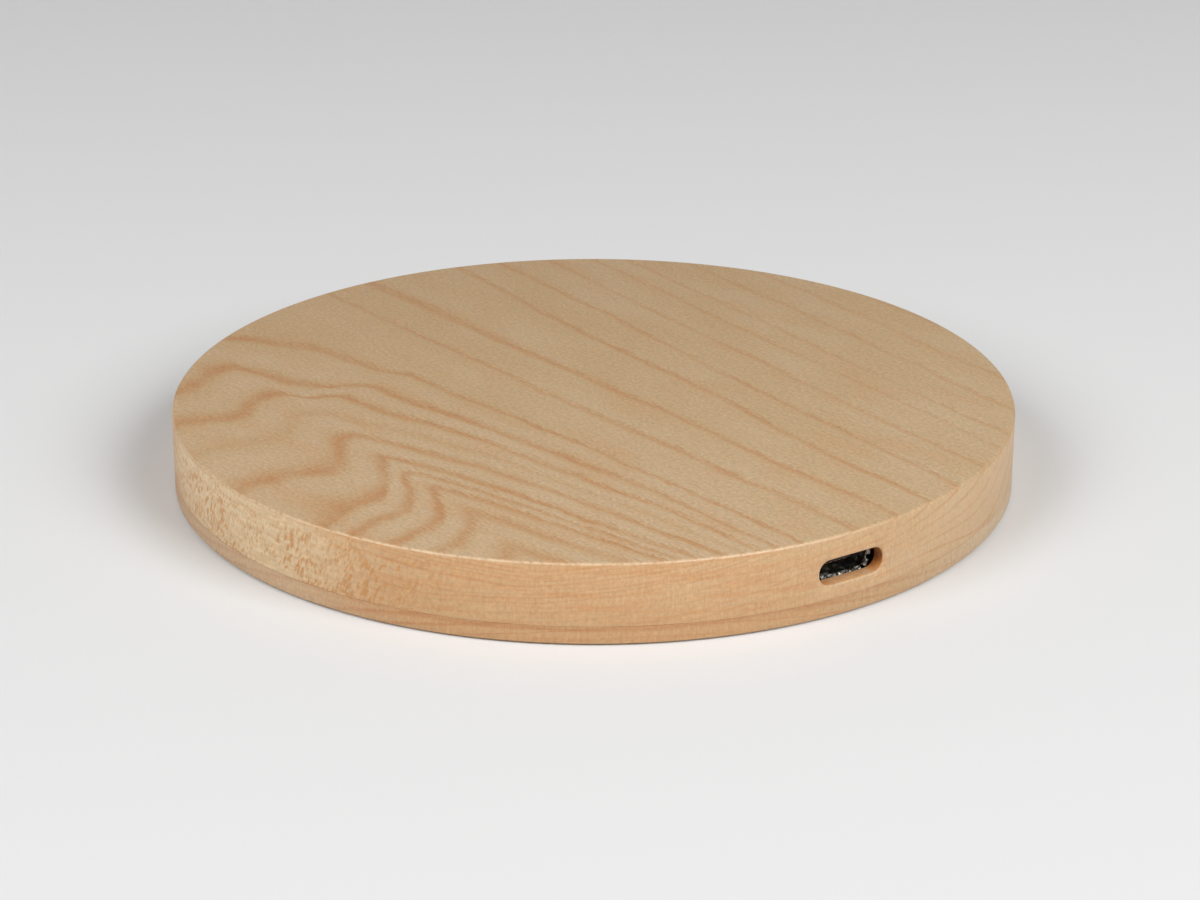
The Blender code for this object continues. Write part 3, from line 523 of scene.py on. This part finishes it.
def base_marks(wood, tan):
    """A band just under the joint in front is painted darker, as shade, and both ends of the edge are painted
    pale, as a grazing reflection.
    """
    rightwards = wood.normal[0]
    front = wood.facing.rise(0.98, 0.75) * rightwards.rise(0.3, -0.3)
    under = wood.depth.rise(8.3, 7.8) * wood.edge * front * (wood.band.rise(0.25, 0.6) * 0.5 + 0.4)
    tan = wood.blend(under * 0.7, tan, BASE_PAINTED_SHADE)
    ends = (rightwards.rise(0.0, 0.6) * 0.55).larger(wood.facing.rise(0.86, 0.99) * 0.4)
    return wood.blend(ends * wood.edge, tan, PAINTED_SHEEN_PALE)


def foot_middle(name):
    low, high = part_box(name)
    return Vector(((low[0] + high[0]) / 2, (low[1] + high[1]) / 2, 0)) / MM


low_edge = quarter(PAD_RADIUS - 0.12, BASE_LOW + 0.12, 0.12, 0, 3)
upper_edge = quarter(PAD_RADIUS - 0.04, JOINT - 0.04, 0.04, 90, 2)
spigot = POCKET - 0.3
base_profile = [(0, BASE_HIGH), (spigot, BASE_HIGH), (spigot, JOINT), *upper_edge, *low_edge, (0, BASE_LOW)]
wide = FOOT_RADIUS + RECESS_PLAY
recess_profile = [(0, FOOT_TOP + 0.05), (wide, FOOT_TOP + 0.05), (wide, BASE_LOW + 0.1)]
recess_profile += [(wide + 0.3, BASE_LOW - 0.2), (wide + 0.3, -1), (0, -1)]
recesses = []
for name in FOOT_NAMES:
    recess = turned(recess_profile, 64)
    bmesh.ops.translate(recess, vec=foot_middle(name), verts=recess.verts)
    recesses.append(recess)
base_mesh = cut_away(turned(base_profile, 240), *recesses)
base_look = maple("maple_base", base_rings, BASE_GRAIN_TURN, BASE_TONE, base_marks)
finish_piece("base_disc_maple", base_mesh, base_look, "base_disc")


# Feet. Four moulded silicone discs pressed into the base, each with a shallow dished face and a
# rounded lip that stands just proud of the wood.
FOOT_LIP = 0.22
FOOT_DISH = 0.09


def silicone():
    finish = Finish("dark_silicone")
    x, y, z = finish.place()
    grain = finish.noise(finish.spot(x, y, z), 2.4, 4.0, 0.6)
    dust = finish.noise(finish.spot(x, y, z), 0.5, 4.0, 0.6).rise(0.5, 0.8)
    colour = finish.blend(dust * 0.35, (0.028, 0.028, 0.03), (0.11, 0.105, 0.10))
    rough = 0.62 + grain * 0.2
    return finish.done(Base_Color=colour, Roughness=rough, Normal=finish.bump(grain, 0.02, 0.5))


foot_finish = silicone()
lip_edge = quarter(FOOT_RADIUS - FOOT_LIP, FOOT_LIP, FOOT_LIP, 0, 4)
dish = [(FOOT_RADIUS - 0.9, 0.0), (FOOT_RADIUS - 1.15, FOOT_DISH), (0, FOOT_DISH)]
for name in FOOT_NAMES:
    foot = turned([(0, FOOT_TOP), (FOOT_RADIUS, FOOT_TOP), *lip_edge, *dish], 72)
    bmesh.ops.translate(foot, vec=foot_middle(name), verts=foot.verts)
    finish_piece(f"{name}_silicone", foot, foot_finish, name)


# Charging coil. Fine enamelled copper strands twisted into one round wire and wound flat, with both
# ends led out to the board. The strands show as slanting lines on every turn.
COIL_START = 10.8
COIL_PITCH = 1.136
COIL_ANGLE = 1.533
WIRE = 0.5


def coated(node, material):
    """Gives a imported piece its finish."""
    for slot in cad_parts[node].material_slots:
        slot.material = material


def litz():
    finish = Finish("litz_copper")
    x, y, z = finish.place()
    angle = x.math("ARCTAN2", -y)
    reach = (x * x + y * y).math("SQRT")
    turns = (reach - COIL_START) / COIL_PITCH - (angle - COIL_ANGLE) / math.tau
    off = ((turns + 0.5).fraction() - 0.5) * COIL_PITCH
    middle = sum(corner[2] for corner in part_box("coil_tape")) / 2 / MM - 0.11 - WIRE
    round_wire = (z - middle).math("ARCTAN2", off)
    strand = (round_wire * (11 / math.tau) + reach * angle / 2.4).fraction()
    groove = (strand - 0.5).size().rise(0.5, 0.25)
    tone = finish.noise(finish.spot(x, y, z), 0.35, 3.0)
    bright = finish.blend(tone.rise(0.3, 0.7), (0.62, 0.25, 0.10), (0.78, 0.36, 0.16))
    # the dark lines between the strands are painted shade in the creases
    colour = finish.blend((1 - groove) * 0.75, bright, (0.16, 0.05, 0.02))
    return finish.done(
        Base_Color=colour,
        Metallic=groove * 0.2 + 0.65,
        Roughness=0.42 - groove * 0.16,
        Normal=finish.bump(groove, 0.06, 0.8),
        Coat_Weight=0.4,
    )


coated("coil_winding", litz())


# Tapes. Thin double-sided adhesive film, amber and faintly wrinkled, over and under the coil and
# behind the board.
def tape():
    finish = Finish("adhesive_film")
    x, y, z = finish.place()
    wrinkle = finish.noise(finish.spot(x / 6, y / 1.2, z), 1.0, 4.0, 0.6)
    bubble = finish.cells(finish.spot(x, y, 0.0), 0.45)
    milky = bubble.rise(0.25, 0.1) * wrinkle.rise(0.4, 0.6)
    colour = finish.blend(wrinkle.rise(0.3, 0.7), (0.60, 0.46, 0.24), (0.74, 0.63, 0.42))
    colour = finish.blend(milky * 0.7, colour, (0.85, 0.81, 0.70))
    relief = finish.bump(wrinkle, 0.05, 0.4)
    return finish.done(Base_Color=colour, Roughness=0.25 + wrinkle * 0.3, Normal=relief)


tape_finish = tape()
for name in ("coil_tape", "ferrite_tape", "board_tape"):
    coated(name, tape_finish)


# Ferrite plate. Pressed and sintered powder, nearly black, matt, with fine pits and pale rubbed
# spots. The small bead by the socket is of the same stuff.
def ferrite():
    finish = Finish("sintered_ferrite")
    x, y, z = finish.place()
    grain = finish.noise(finish.spot(x, y, z), 6.0, 3.0, 0.7)
    rubbed = finish.noise(finish.spot(x, y, z), 0.25, 4.0).rise(0.5, 0.75)
    pit = finish.noise(finish.spot(x, y, z), 3.0, 1.0).rise(0.72, 0.8)
    colour = finish.blend(grain, (0.030, 0.030, 0.034), (0.060, 0.060, 0.064))
    colour = finish.blend(rubbed * 0.5, colour, (0.12, 0.12, 0.125))
    relief = finish.bump(grain - pit, 0.03, 0.6)
    return finish.done(Base_Color=colour, Roughness=0.75 - rubbed * 0.25, Normal=relief)


ferrite_finish = ferrite()
for name in ("ferrite_plate", "input_bead"):
    coated(name, ferrite_finish)


# Foam pad. A die-cut disc of black closed-cell foam that presses the stack up against the wood. Its
# cells are open along the cut.
def foam():
    finish = Finish("closed_cell_foam")
    x, y, z = finish.place()
    cell = finish.cells(finish.spot(x, y, z), 2.6, "DISTANCE_TO_EDGE")
    wall = cell.rise(0.12, 0.02)
    soft = finish.noise(finish.spot(x, y, z), 1.2, 3.0)
    colour = finish.blend(soft, (0.035, 0.035, 0.037), (0.060, 0.060, 0.062))
    colour = finish.blend(wall * 0.6, colour, (0.11, 0.11, 0.112))
    return finish.done(Base_Color=colour, Roughness=0.92, Normal=finish.bump(cell, -0.15, 0.8))


coated("foam_pad", foam())


# Circuit board. Glass-fibre laminate with green solder mask. Copper tracks follow its arc under the
# mask, each part stands on tinned lands, and the sawn edge shows bare yellow laminate.
ALONG_ARC = ("controller_chip", "bridge_transistor", "regulator", "input_bead", "status_lamp")
ALONG_ARC += ("small_capacitor", "small_resistor")
ACROSS_ARC = ("tank_capacitor", "input_capacitor", "sense_resistor")
BOARD_ARC = 36.5
LAND_SHARE = 0.42


def hung_parts(family):
    """Each part of a family: its node, its middle, its box's size and its turn about Z."""
    found = []
    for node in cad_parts:
        if node.startswith(family):
            low, high = (Vector(corner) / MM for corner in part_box(node))
            middle = (low + high) / 2
            turn = math.atan2(middle.x, -middle.y) + math.radians(90 if family in ACROSS_ARC else 0)
            found.append((node, middle, high - low, turn))
    return found


def board():
    finish = Finish("green_board")
    x, y, z = finish.place()
    reach = (x * x + y * y).math("SQRT")
    angle = x.math("ARCTAN2", -y)
    arc_length = angle * BOARD_ARC
    wander = finish.noise(finish.spot(arc_length / 7, reach / 5, 0.0), 1.0, 0.0)
    lane = ((reach + (wander - 0.5) * 5) / 1.6).fraction()
    track = (lane - 0.5).size().rise(0.22, 0.18)
    pour = finish.noise(finish.spot(arc_length, reach, 3.0), 0.12, 0.0).rise(0.50, 0.51)
    via = finish.cells(finish.spot(arc_length, reach, 0.0), 0.42)
    painted_hole_shade = via.rise(0.07, 0.05)
    tinned = via.rise(0.13, 0.11)
    for family in ALONG_ARC + ACROSS_ARC:
        for _, middle, size, _ in hung_parts(family):
            wide, deep = size.x * LAND_SHARE, size.y * LAND_SHARE
            beside_x = (x - middle.x).size().rise(wide + 0.1, wide)
            beside_y = (y - middle.y).size().rise(deep + 0.1, deep)
            tinned = tinned.larger(beside_x * beside_y)
    face = finish.split(finish.add("NewGeometry", output="Normal"))[2].size().rise(0.4, 0.6)
    mask = finish.blend(track.larger(pour) * 0.6, (0.010, 0.085, 0.035), (0.020, 0.19, 0.08))
    weave = (x * 5).math("SINE") * (y * 5).math("SINE") * 0.5 + 0.5
    mask = finish.blend(weave * 0.08, mask, (0.05, 0.25, 0.12))
    surface = finish.blend(tinned, mask, (0.66, 0.66, 0.63))
    # the via holes are painted black, as painted shade inside them
    surface = finish.blend(painted_hole_shade, surface, (0.02, 0.02, 0.02))
    fibre = (z * 9).fraction() * finish.noise(finish.spot(x, y, z * 6), 1.5, 3.0)
    laminate = finish.blend(fibre, (0.42, 0.36, 0.17), (0.66, 0.60, 0.36))
    colour = finish.blend(face, laminate, surface)
    return finish.done(
        Base_Color=colour,
        Metallic=tinned * face * 0.9,
        Roughness=0.32 + (1 - face) * 0.4,
        Normal=finish.bump(track.larger(pour) + tinned, 0.03, 0.5),
    )


coated("circuit_board", board())


# Chips. Black moulded resin, faintly rough from its mould, on tinned copper leads. The controller
# is a flat square with its terminals flush in its four sides, and the others have bent leads.
CHIP_WIDTH = 7.0
CHIP_PROUD = 0.03
CHIP_TERMINALS = 12
CHIP_PITCH = 0.5
TERMINAL = Vector((0.24, 0.4, 0.2))
DIMPLE_INSET = 0.8


def resin(name, middle, turn, lead_at, dimple_at, every_side=False):
    """Resin, but tin beyond a distance from the middle, with a dimple that marks the first lead."""
    finish = Finish(name)
    along, across, height = finish.place(-turn, middle)
    grit = finish.noise(finish.spot(along, across, height), 7.0, 3.0, 0.7)
    outwards = across.size()
    if every_side:
        outwards = outwards.larger(along.size())
    lead = outwards.rise(lead_at - 0.01, lead_at + 0.01)
    dimple_x, dimple_y = along - dimple_at[0], across - dimple_at[1]
    dimple = (dimple_x * dimple_x + dimple_y * dimple_y).math("SQRT").rise(0.34, 0.28) * (1 - lead)
    stain = finish.noise(finish.spot(along, across, height), 1.2, 3.0)
    black = finish.blend(grit, (0.014, 0.014, 0.015), (0.032, 0.032, 0.034))
    tin = finish.blend(stain, (0.60, 0.59, 0.56), (0.78, 0.77, 0.74))
    return finish.done(
        Base_Color=finish.blend(lead, black, tin),
        Metallic=lead,
        Roughness=(1 - lead) * 0.28 + 0.30 + stain * 0.12,
        Normal=finish.bump(grit * 0.2 - dimple, 0.05, 0.7),
    )


def controller(middle, turn, thick):
    """Hangs from the board, so its marked face is the lower one and its terminals are at its top."""
    bm = bmesh.new()
    bmesh.ops.create_cube(bm, size=1)
    wide = CHIP_WIDTH - 2 * CHIP_PROUD
    bmesh.ops.scale(bm, vec=(wide, wide, thick), verts=bm.verts)
    lower = [edge for edge in bm.edges if all(vert.co.z < 0 for vert in edge.verts)]
    bmesh.ops.bevel(bm, geom=lower, offset=0.08, segments=2, profile=0.5, affect="EDGES", material=-1)
    for side in range(4):
        for number in range(CHIP_TERMINALS):
            terminal = bmesh.ops.create_cube(bm, size=1)["verts"]
            bmesh.ops.scale(bm, vec=TERMINAL, verts=terminal)
            along = (number - (CHIP_TERMINALS - 1) / 2) * CHIP_PITCH
            spot = (along, (CHIP_WIDTH - TERMINAL.y) / 2, (thick - TERMINAL.z) / 2)
            bmesh.ops.translate(bm, vec=spot, verts=terminal)
            quarter_turn = Matrix.Rotation(math.radians(90 * side), 3, "Z")
            bmesh.ops.rotate(bm, cent=(0, 0, 0), matrix=quarter_turn, verts=terminal)
    bmesh.ops.rotate(bm, cent=(0, 0, 0), matrix=Matrix.Rotation(turn, 3, "Z"), verts=bm.verts)
    bmesh.ops.translate(bm, vec=middle, verts=bm.verts)
    return bm


for family, body_width, dimple_x in (("bridge_transistor", 3.9, -1.5), ("regulator", 1.6, -1.0)):
    for node, middle, _, turn in hung_parts(family):
        dimple_at = (dimple_x, DIMPLE_INSET - body_width / 2)
        coated(node, resin(f"{node}_resin", middle, turn, body_width / 2, dimple_at))
for node, middle, size, turn in hung_parts("controller_chip"):
    corner = DIMPLE_INSET - CHIP_WIDTH / 2
    look = resin(f"{node}_resin", middle, turn, (CHIP_WIDTH - CHIP_PROUD) / 2, (corner, corner), True)
    finish_piece(f"{node}_moulded", controller(middle, turn, size.z), look, node)


# Capacitors and resistors. Small fired blocks with tinned end caps: tan ceramic with a fine grain,
# or black glass over white alumina.
def capped(node, middle, turn, length, band, dark, light, gloss):
    finish = Finish(f"{node}_body")
    along, across, height = finish.place(-turn, middle)
    grain = finish.noise(finish.spot(along, across, height), 5.0, 4.0, 0.65)
    ragged = finish.noise(finish.spot(along * 0.2, across, height), 3.0, 2.0)
    cap = (along.size() + (ragged - 0.5) * 0.12).rise(length / 2 - band - 0.02, length / 2 - band + 0.02)
    tin = finish.blend(grain, (0.58, 0.57, 0.54), (0.80, 0.79, 0.76))
    return finish.done(
        Base_Color=finish.blend(cap, finish.blend(grain, dark, light), tin),
        Metallic=cap,
        Roughness=(1 - cap) * (gloss - 0.35) + 0.35 + grain * 0.1,
        Normal=finish.bump(grain, 0.02, 0.5),
    )


CERAMIC = ((0.30, 0.19, 0.11), (0.48, 0.34, 0.22), 0.5)
GLASS_COAT = ((0.010, 0.010, 0.011), (0.030, 0.030, 0.032), 0.25)
RESIN = ((0.72, 0.68, 0.50), (0.92, 0.90, 0.80), 0.2)
for family, length, band, look in (
    ("tank_capacitor", 3.2, 0.5, CERAMIC),
    ("input_capacitor", 3.2, 0.5, CERAMIC),
    ("small_capacitor", 1.6, 0.3, CERAMIC),
    ("small_resistor", 1.6, 0.3, GLASS_COAT),
    ("sense_resistor", 3.2, 0.5, GLASS_COAT),
    ("status_lamp", 1.6, 0.3, RESIN),
):
    for node, middle, _, turn in hung_parts(family):
        coated(node, capped(node, middle, turn, length, band, *look))


# Solder joints. Two domes of hand-soldered tin where the coil's tails meet the board, bright and
# rippled, with a little amber flux left at the foot.
def solder():
    finish = Finish("hand_solder")
    x, y, z = finish.place()
    ripple = finish.noise(finish.spot(x, y, z), 1.3, 3.0)
    flux = finish.noise(finish.spot(x, y, z), 0.8, 2.0).rise(0.55, 0.7)
    colour = finish.blend(ripple, (0.62, 0.61, 0.58), (0.82, 0.81, 0.79))
    colour = finish.blend(flux * 0.6, colour, (0.42, 0.25, 0.08))
    relief = finish.bump(ripple, 0.1, 0.5)
    rough = 0.2 + ripple * 0.2
    return finish.done(Base_Color=colour, Metallic=1 - flux * 0.7, Roughness=rough, Normal=relief)


solder_finish = solder()
for name in ("solder_joint_1", "solder_joint_2"):
    coated(name, solder_finish)


# Power socket's shell. Thin tin-plated steel stamped and folded to a tube, wide side up, with four
# lips flared out at the mouth. Plugs have dulled and scratched the lips.
# The mouth's place is rounded to a micrometre, because smaller changes spoil the cut of the lips.
SHELL_LOW, SHELL_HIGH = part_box("socket_shell")
MOUTH = round(SHELL_LOW[1] / MM, 3)
SOCKET_MIDDLE = round((SHELL_LOW[2] + SHELL_HIGH[2]) / 2 / MM, 3)
SHELL = 0.25
SHELL_CORNER = 0.35
SHELL_LENGTH = 5.4
FLARE = 0.28
FLARE_LENGTH = 0.45
SOCKET_OUTLINE = [(-2.95, -1.25), (2.95, -1.25), (3.75, -0.15), (3.75, 1.25), (-3.75, 1.25), (-3.75, -0.15)]


def socket_ring(grow, depth):
    """The shell's outline, moved out by a distance, at a depth behind the mouth."""
    ring = []
    count = len(SOCKET_OUTLINE)
    for index, place in enumerate(SOCKET_OUTLINE):
        here = Vector(place)
        back = (Vector(SOCKET_OUTLINE[index - 1]) - here).normalized()
        ahead = (Vector(SOCKET_OUTLINE[(index + 1) % count]) - here).normalized()
        half = back.angle(ahead) / 2
        centre = here + (back + ahead).normalized() * SHELL_CORNER / math.sin(half)
        bend = math.pi - 2 * half
        for step in range(7):
            spin = Matrix.Rotation(-bend / 2 + bend * step / 6, 2)
            out = spin @ -(back + ahead).normalized()
            spot = centre + out * (SHELL_CORNER + grow)
            ring.append((spot.x, MOUTH + depth, SOCKET_MIDDLE + spot.y))
    return ring


def lip_cutter(x, z):
    """Parts two of the lips at a corner of the mouth."""
    tool = bmesh.new()
    bmesh.ops.create_cube(tool, size=1)
    bmesh.ops.scale(tool, vec=(0.62, 0.9, 0.62), verts=tool.verts)
    edges = tool.edges[:]
    bmesh.ops.bevel(tool, geom=edges, offset=0.12, segments=2, profile=0.5, affect="EDGES", material=-1)
    lean = Vector((x, z)).normalized() * 0.12
    place = (x + lean.x, MOUTH, SOCKET_MIDDLE + z + lean.y)
    bmesh.ops.translate(tool, vec=place, verts=tool.verts)
    return tool


def dent(bm):
    """Plugs have bent the lips a little."""
    for vert in bm.verts:
        if vert.co.y < MOUTH + 0.4:
            share = (MOUTH + 0.4 - vert.co.y) / 0.4
            bent = math.sin(vert.co.x * 3.1 + 1) * 0.05 + math.sin(vert.co.x * 7.3) * 0.03
            vert.co.z += bent * share
            vert.co.y += (math.sin(vert.co.x * 5.2 + vert.co.z * 3) * 0.5 + 0.5) * 0.07 * share


def shell():
    """A tube with a flared mouth, and four legs to its sides."""
    bm = bmesh.new()
    outer = []
    for step in range(7):
        share = step / 6
        grow = FLARE * (1 - math.sin(share * math.pi / 2)) ** 1.2
        outer.append((0.02 + (FLARE_LENGTH - 0.02) * share, grow))
    outer.append((SHELL_LENGTH, 0.0))
    inner = [(depth, grow - SHELL) for depth, grow in outer[::-1]]
    rim = [(0.0, FLARE - 0.17), (0.0, FLARE - 0.08)]
    loops = []
    for depth, grow in outer + inner + rim:
        ring = [bm.verts.new(place) for place in socket_ring(grow, depth)]
        loops.append([bm.edges.new(pair) for pair in zip(ring, ring[1:] + ring[:1])])
    for here, after in zip(loops, loops[1:] + loops[:1]):
        bmesh.ops.bridge_loops(bm, edges=here + after)
    bmesh.ops.recalc_face_normals(bm, faces=bm.faces)
    bm = cut_away(bm, *(lip_cutter(x, z) for x, z in SOCKET_OUTLINE))
    dent(bm)
    for side in (-1, 1):
        for depth in (1.6, 4.3):
            leg = bmesh.ops.create_cube(bm, size=1)["verts"]
            bmesh.ops.scale(bm, vec=(1.0, 1.1, SHELL), verts=leg)
            bmesh.ops.translate(bm, vec=(side * 4.05, MOUTH + depth, SOCKET_MIDDLE + 1.125), verts=leg)
    return bm


def tin_plate():
    finish = Finish("tin_plated_steel")
    x, y, z = finish.place()
    brushed = finish.noise(finish.spot(x / 0.9, y / 0.9, z / 0.03), 1.0, 3.0, 0.6)
    stain = finish.noise(finish.spot(x, y, z), 1.1, 4.0, 0.6)
    # the mouth is painted dark in patches, except on its right lip, as painted shade
    painted_mouth_shade = (y - MOUTH).rise(0.9, 0.1) * x.rise(3.9, 3.0)
    dented = finish.noise(finish.spot(x / 0.55, y / 0.5, z / 0.5), 1.0, 1.0)
    scratch = finish.noise(finish.spot(x / 0.06, y / 0.9, z / 0.06), 1.0, 1.0).rise(0.6, 0.7)
    colour = finish.blend(stain.rise(0.35, 0.65), (0.20, 0.205, 0.185), (0.50, 0.50, 0.46))
    colour = finish.blend(painted_mouth_shade * stain.rise(0.62, 0.5) * 0.9, colour, (0.035, 0.035, 0.03))
    rough = 0.24 + brushed * 0.2 + stain.rise(0.5, 0.65) * 0.25
    relief = finish.bump(brushed - scratch, 0.01, 0.7, finish.bump(dented, 0.25))
    return finish.done(Base_Color=colour, Metallic=1.0, Roughness=rough, Normal=relief)


finish_piece("socket_shell_stamped", shell(), tin_plate(), "socket_shell", smooth=35)


# Socket's insulator and contacts. One black moulding closes the back and reaches forwards as the
# tongue, with five gold-flashed springs lying under it.
def black_moulding():
    finish = Finish("black_moulding")
    x, y, z = finish.place()
    grit = finish.noise(finish.spot(x, y, z), 8.0, 3.0, 0.7)
    rubbed = finish.noise(finish.spot(x / 0.3, y / 2, z / 0.3), 1.0, 2.0).rise(0.6, 0.72)
    colour = finish.blend(grit, (0.010, 0.010, 0.010), (0.022, 0.022, 0.022))
    colour = finish.blend(rubbed * 0.4, colour, (0.06, 0.06, 0.058))
    return finish.done(Base_Color=colour, Roughness=0.5 - rubbed * 0.15, Normal=finish.bump(grit, 0.02, 0.5))


def gold_flash():
    finish = Finish("gold_flash")
    x, y, z = finish.place()
    streak = finish.noise(finish.spot(x / 0.05, y / 1.2, z / 0.05), 1.0, 2.0)
    wiped = (y - MOUTH).rise(2.2, 1.2)
    colour = finish.blend(streak, (0.72, 0.47, 0.16), (0.90, 0.66, 0.30))
    colour = finish.blend(wiped * streak.rise(0.55, 0.7) * 0.6, colour, (0.70, 0.62, 0.50))
    relief = finish.bump(streak, 0.01, 0.6)
    return finish.done(Base_Color=colour, Metallic=1.0, Roughness=0.22 + streak * 0.2, Normal=relief)


coated("socket_insulator", black_moulding())
gold = gold_flash()
for number in range(1, 6):
    coated(f"socket_contact_{number}", gold)


# Floor and light. A white paper sweep under two large soft lights, one on each side of the camera,
# and a pale room round them.
PAPER = (0.80, 0.80, 0.80)
SWEEP_RADIUS = 0.6
PANEL = 0.6


def paper():
    finish = Finish("white_paper")
    x, y, z = finish.place()
    tooth = finish.noise(finish.spot(x, y, z), 1.5, 3.0)
    shade = tooth * 0.012 + 0.994
    colour = finish.blend(1.0, PAPER, finish.spot(shade, shade, shade), "MULTIPLY")
    return finish.done(Base_Color=colour, Roughness=0.9)


def sweep():
    """Flat in front, curving up well behind the pad. Its sizes are in metres."""
    bm = bmesh.new()
    curve = [(-2.0, 0), (0.9, 0)]
    for degrees in range(10, 91, 10):
        angle = math.radians(degrees)
        curve.append((0.9 + SWEEP_RADIUS * math.sin(angle), SWEEP_RADIUS * (1 - math.cos(angle))))
    curve.append((0.9 + SWEEP_RADIUS, 2.4))
    verts = [bm.verts.new((-2.5, y, z)) for y, z in curve]
    edges = [bm.edges.new(pair) for pair in zip(verts, verts[1:])]
    grown = bmesh.ops.extrude_edge_only(bm, edges=edges)
    moved = [item for item in grown["geom"] if isinstance(item, bmesh.types.BMVert)]
    bmesh.ops.translate(bm, vec=(5, 0, 0), verts=moved)
    bmesh.ops.rotate(bm, cent=(0, 0, 0), matrix=TURN_TO_SOCKET, verts=bm.verts)
    bmesh.ops.recalc_face_normals(bm, faces=bm.faces)
    mesh = bpy.data.meshes.new("floor")
    bm.to_mesh(mesh)
    bm.free()
    mesh.shade_smooth()
    mesh.materials.append(paper())
    floor = bpy.data.objects.new("floor", mesh)
    bpy.context.scene.collection.objects.link(floor)


def soft_light(name, place, power):
    """A square panel that faces the pad from a place in metres, as seen from the camera's side."""
    data = bpy.data.lights.new(name, "AREA")
    data.size = PANEL
    data.energy = power
    light = bpy.data.objects.new(name, data)
    bpy.context.scene.collection.objects.link(light)
    light.location = TURN_TO_SOCKET @ Vector(place)
    light.rotation_euler = (-light.location).to_track_quat("-Z", "Y").to_euler()


sweep()
soft_light("left_light", (-0.62, -0.52, 0.60), 6.2)
soft_light("right_light", (0.62, -0.52, 0.60), 8.3)

world = bpy.data.worlds.new("room")
world.use_nodes = True
room = world.node_tree.nodes["Background"]
room.inputs["Color"].default_value = (1, 1, 1, 1)
room.inputs["Strength"].default_value = 0.15
bpy.context.scene.world = world
bpy.context.scene.view_settings.view_transform = "Standard"
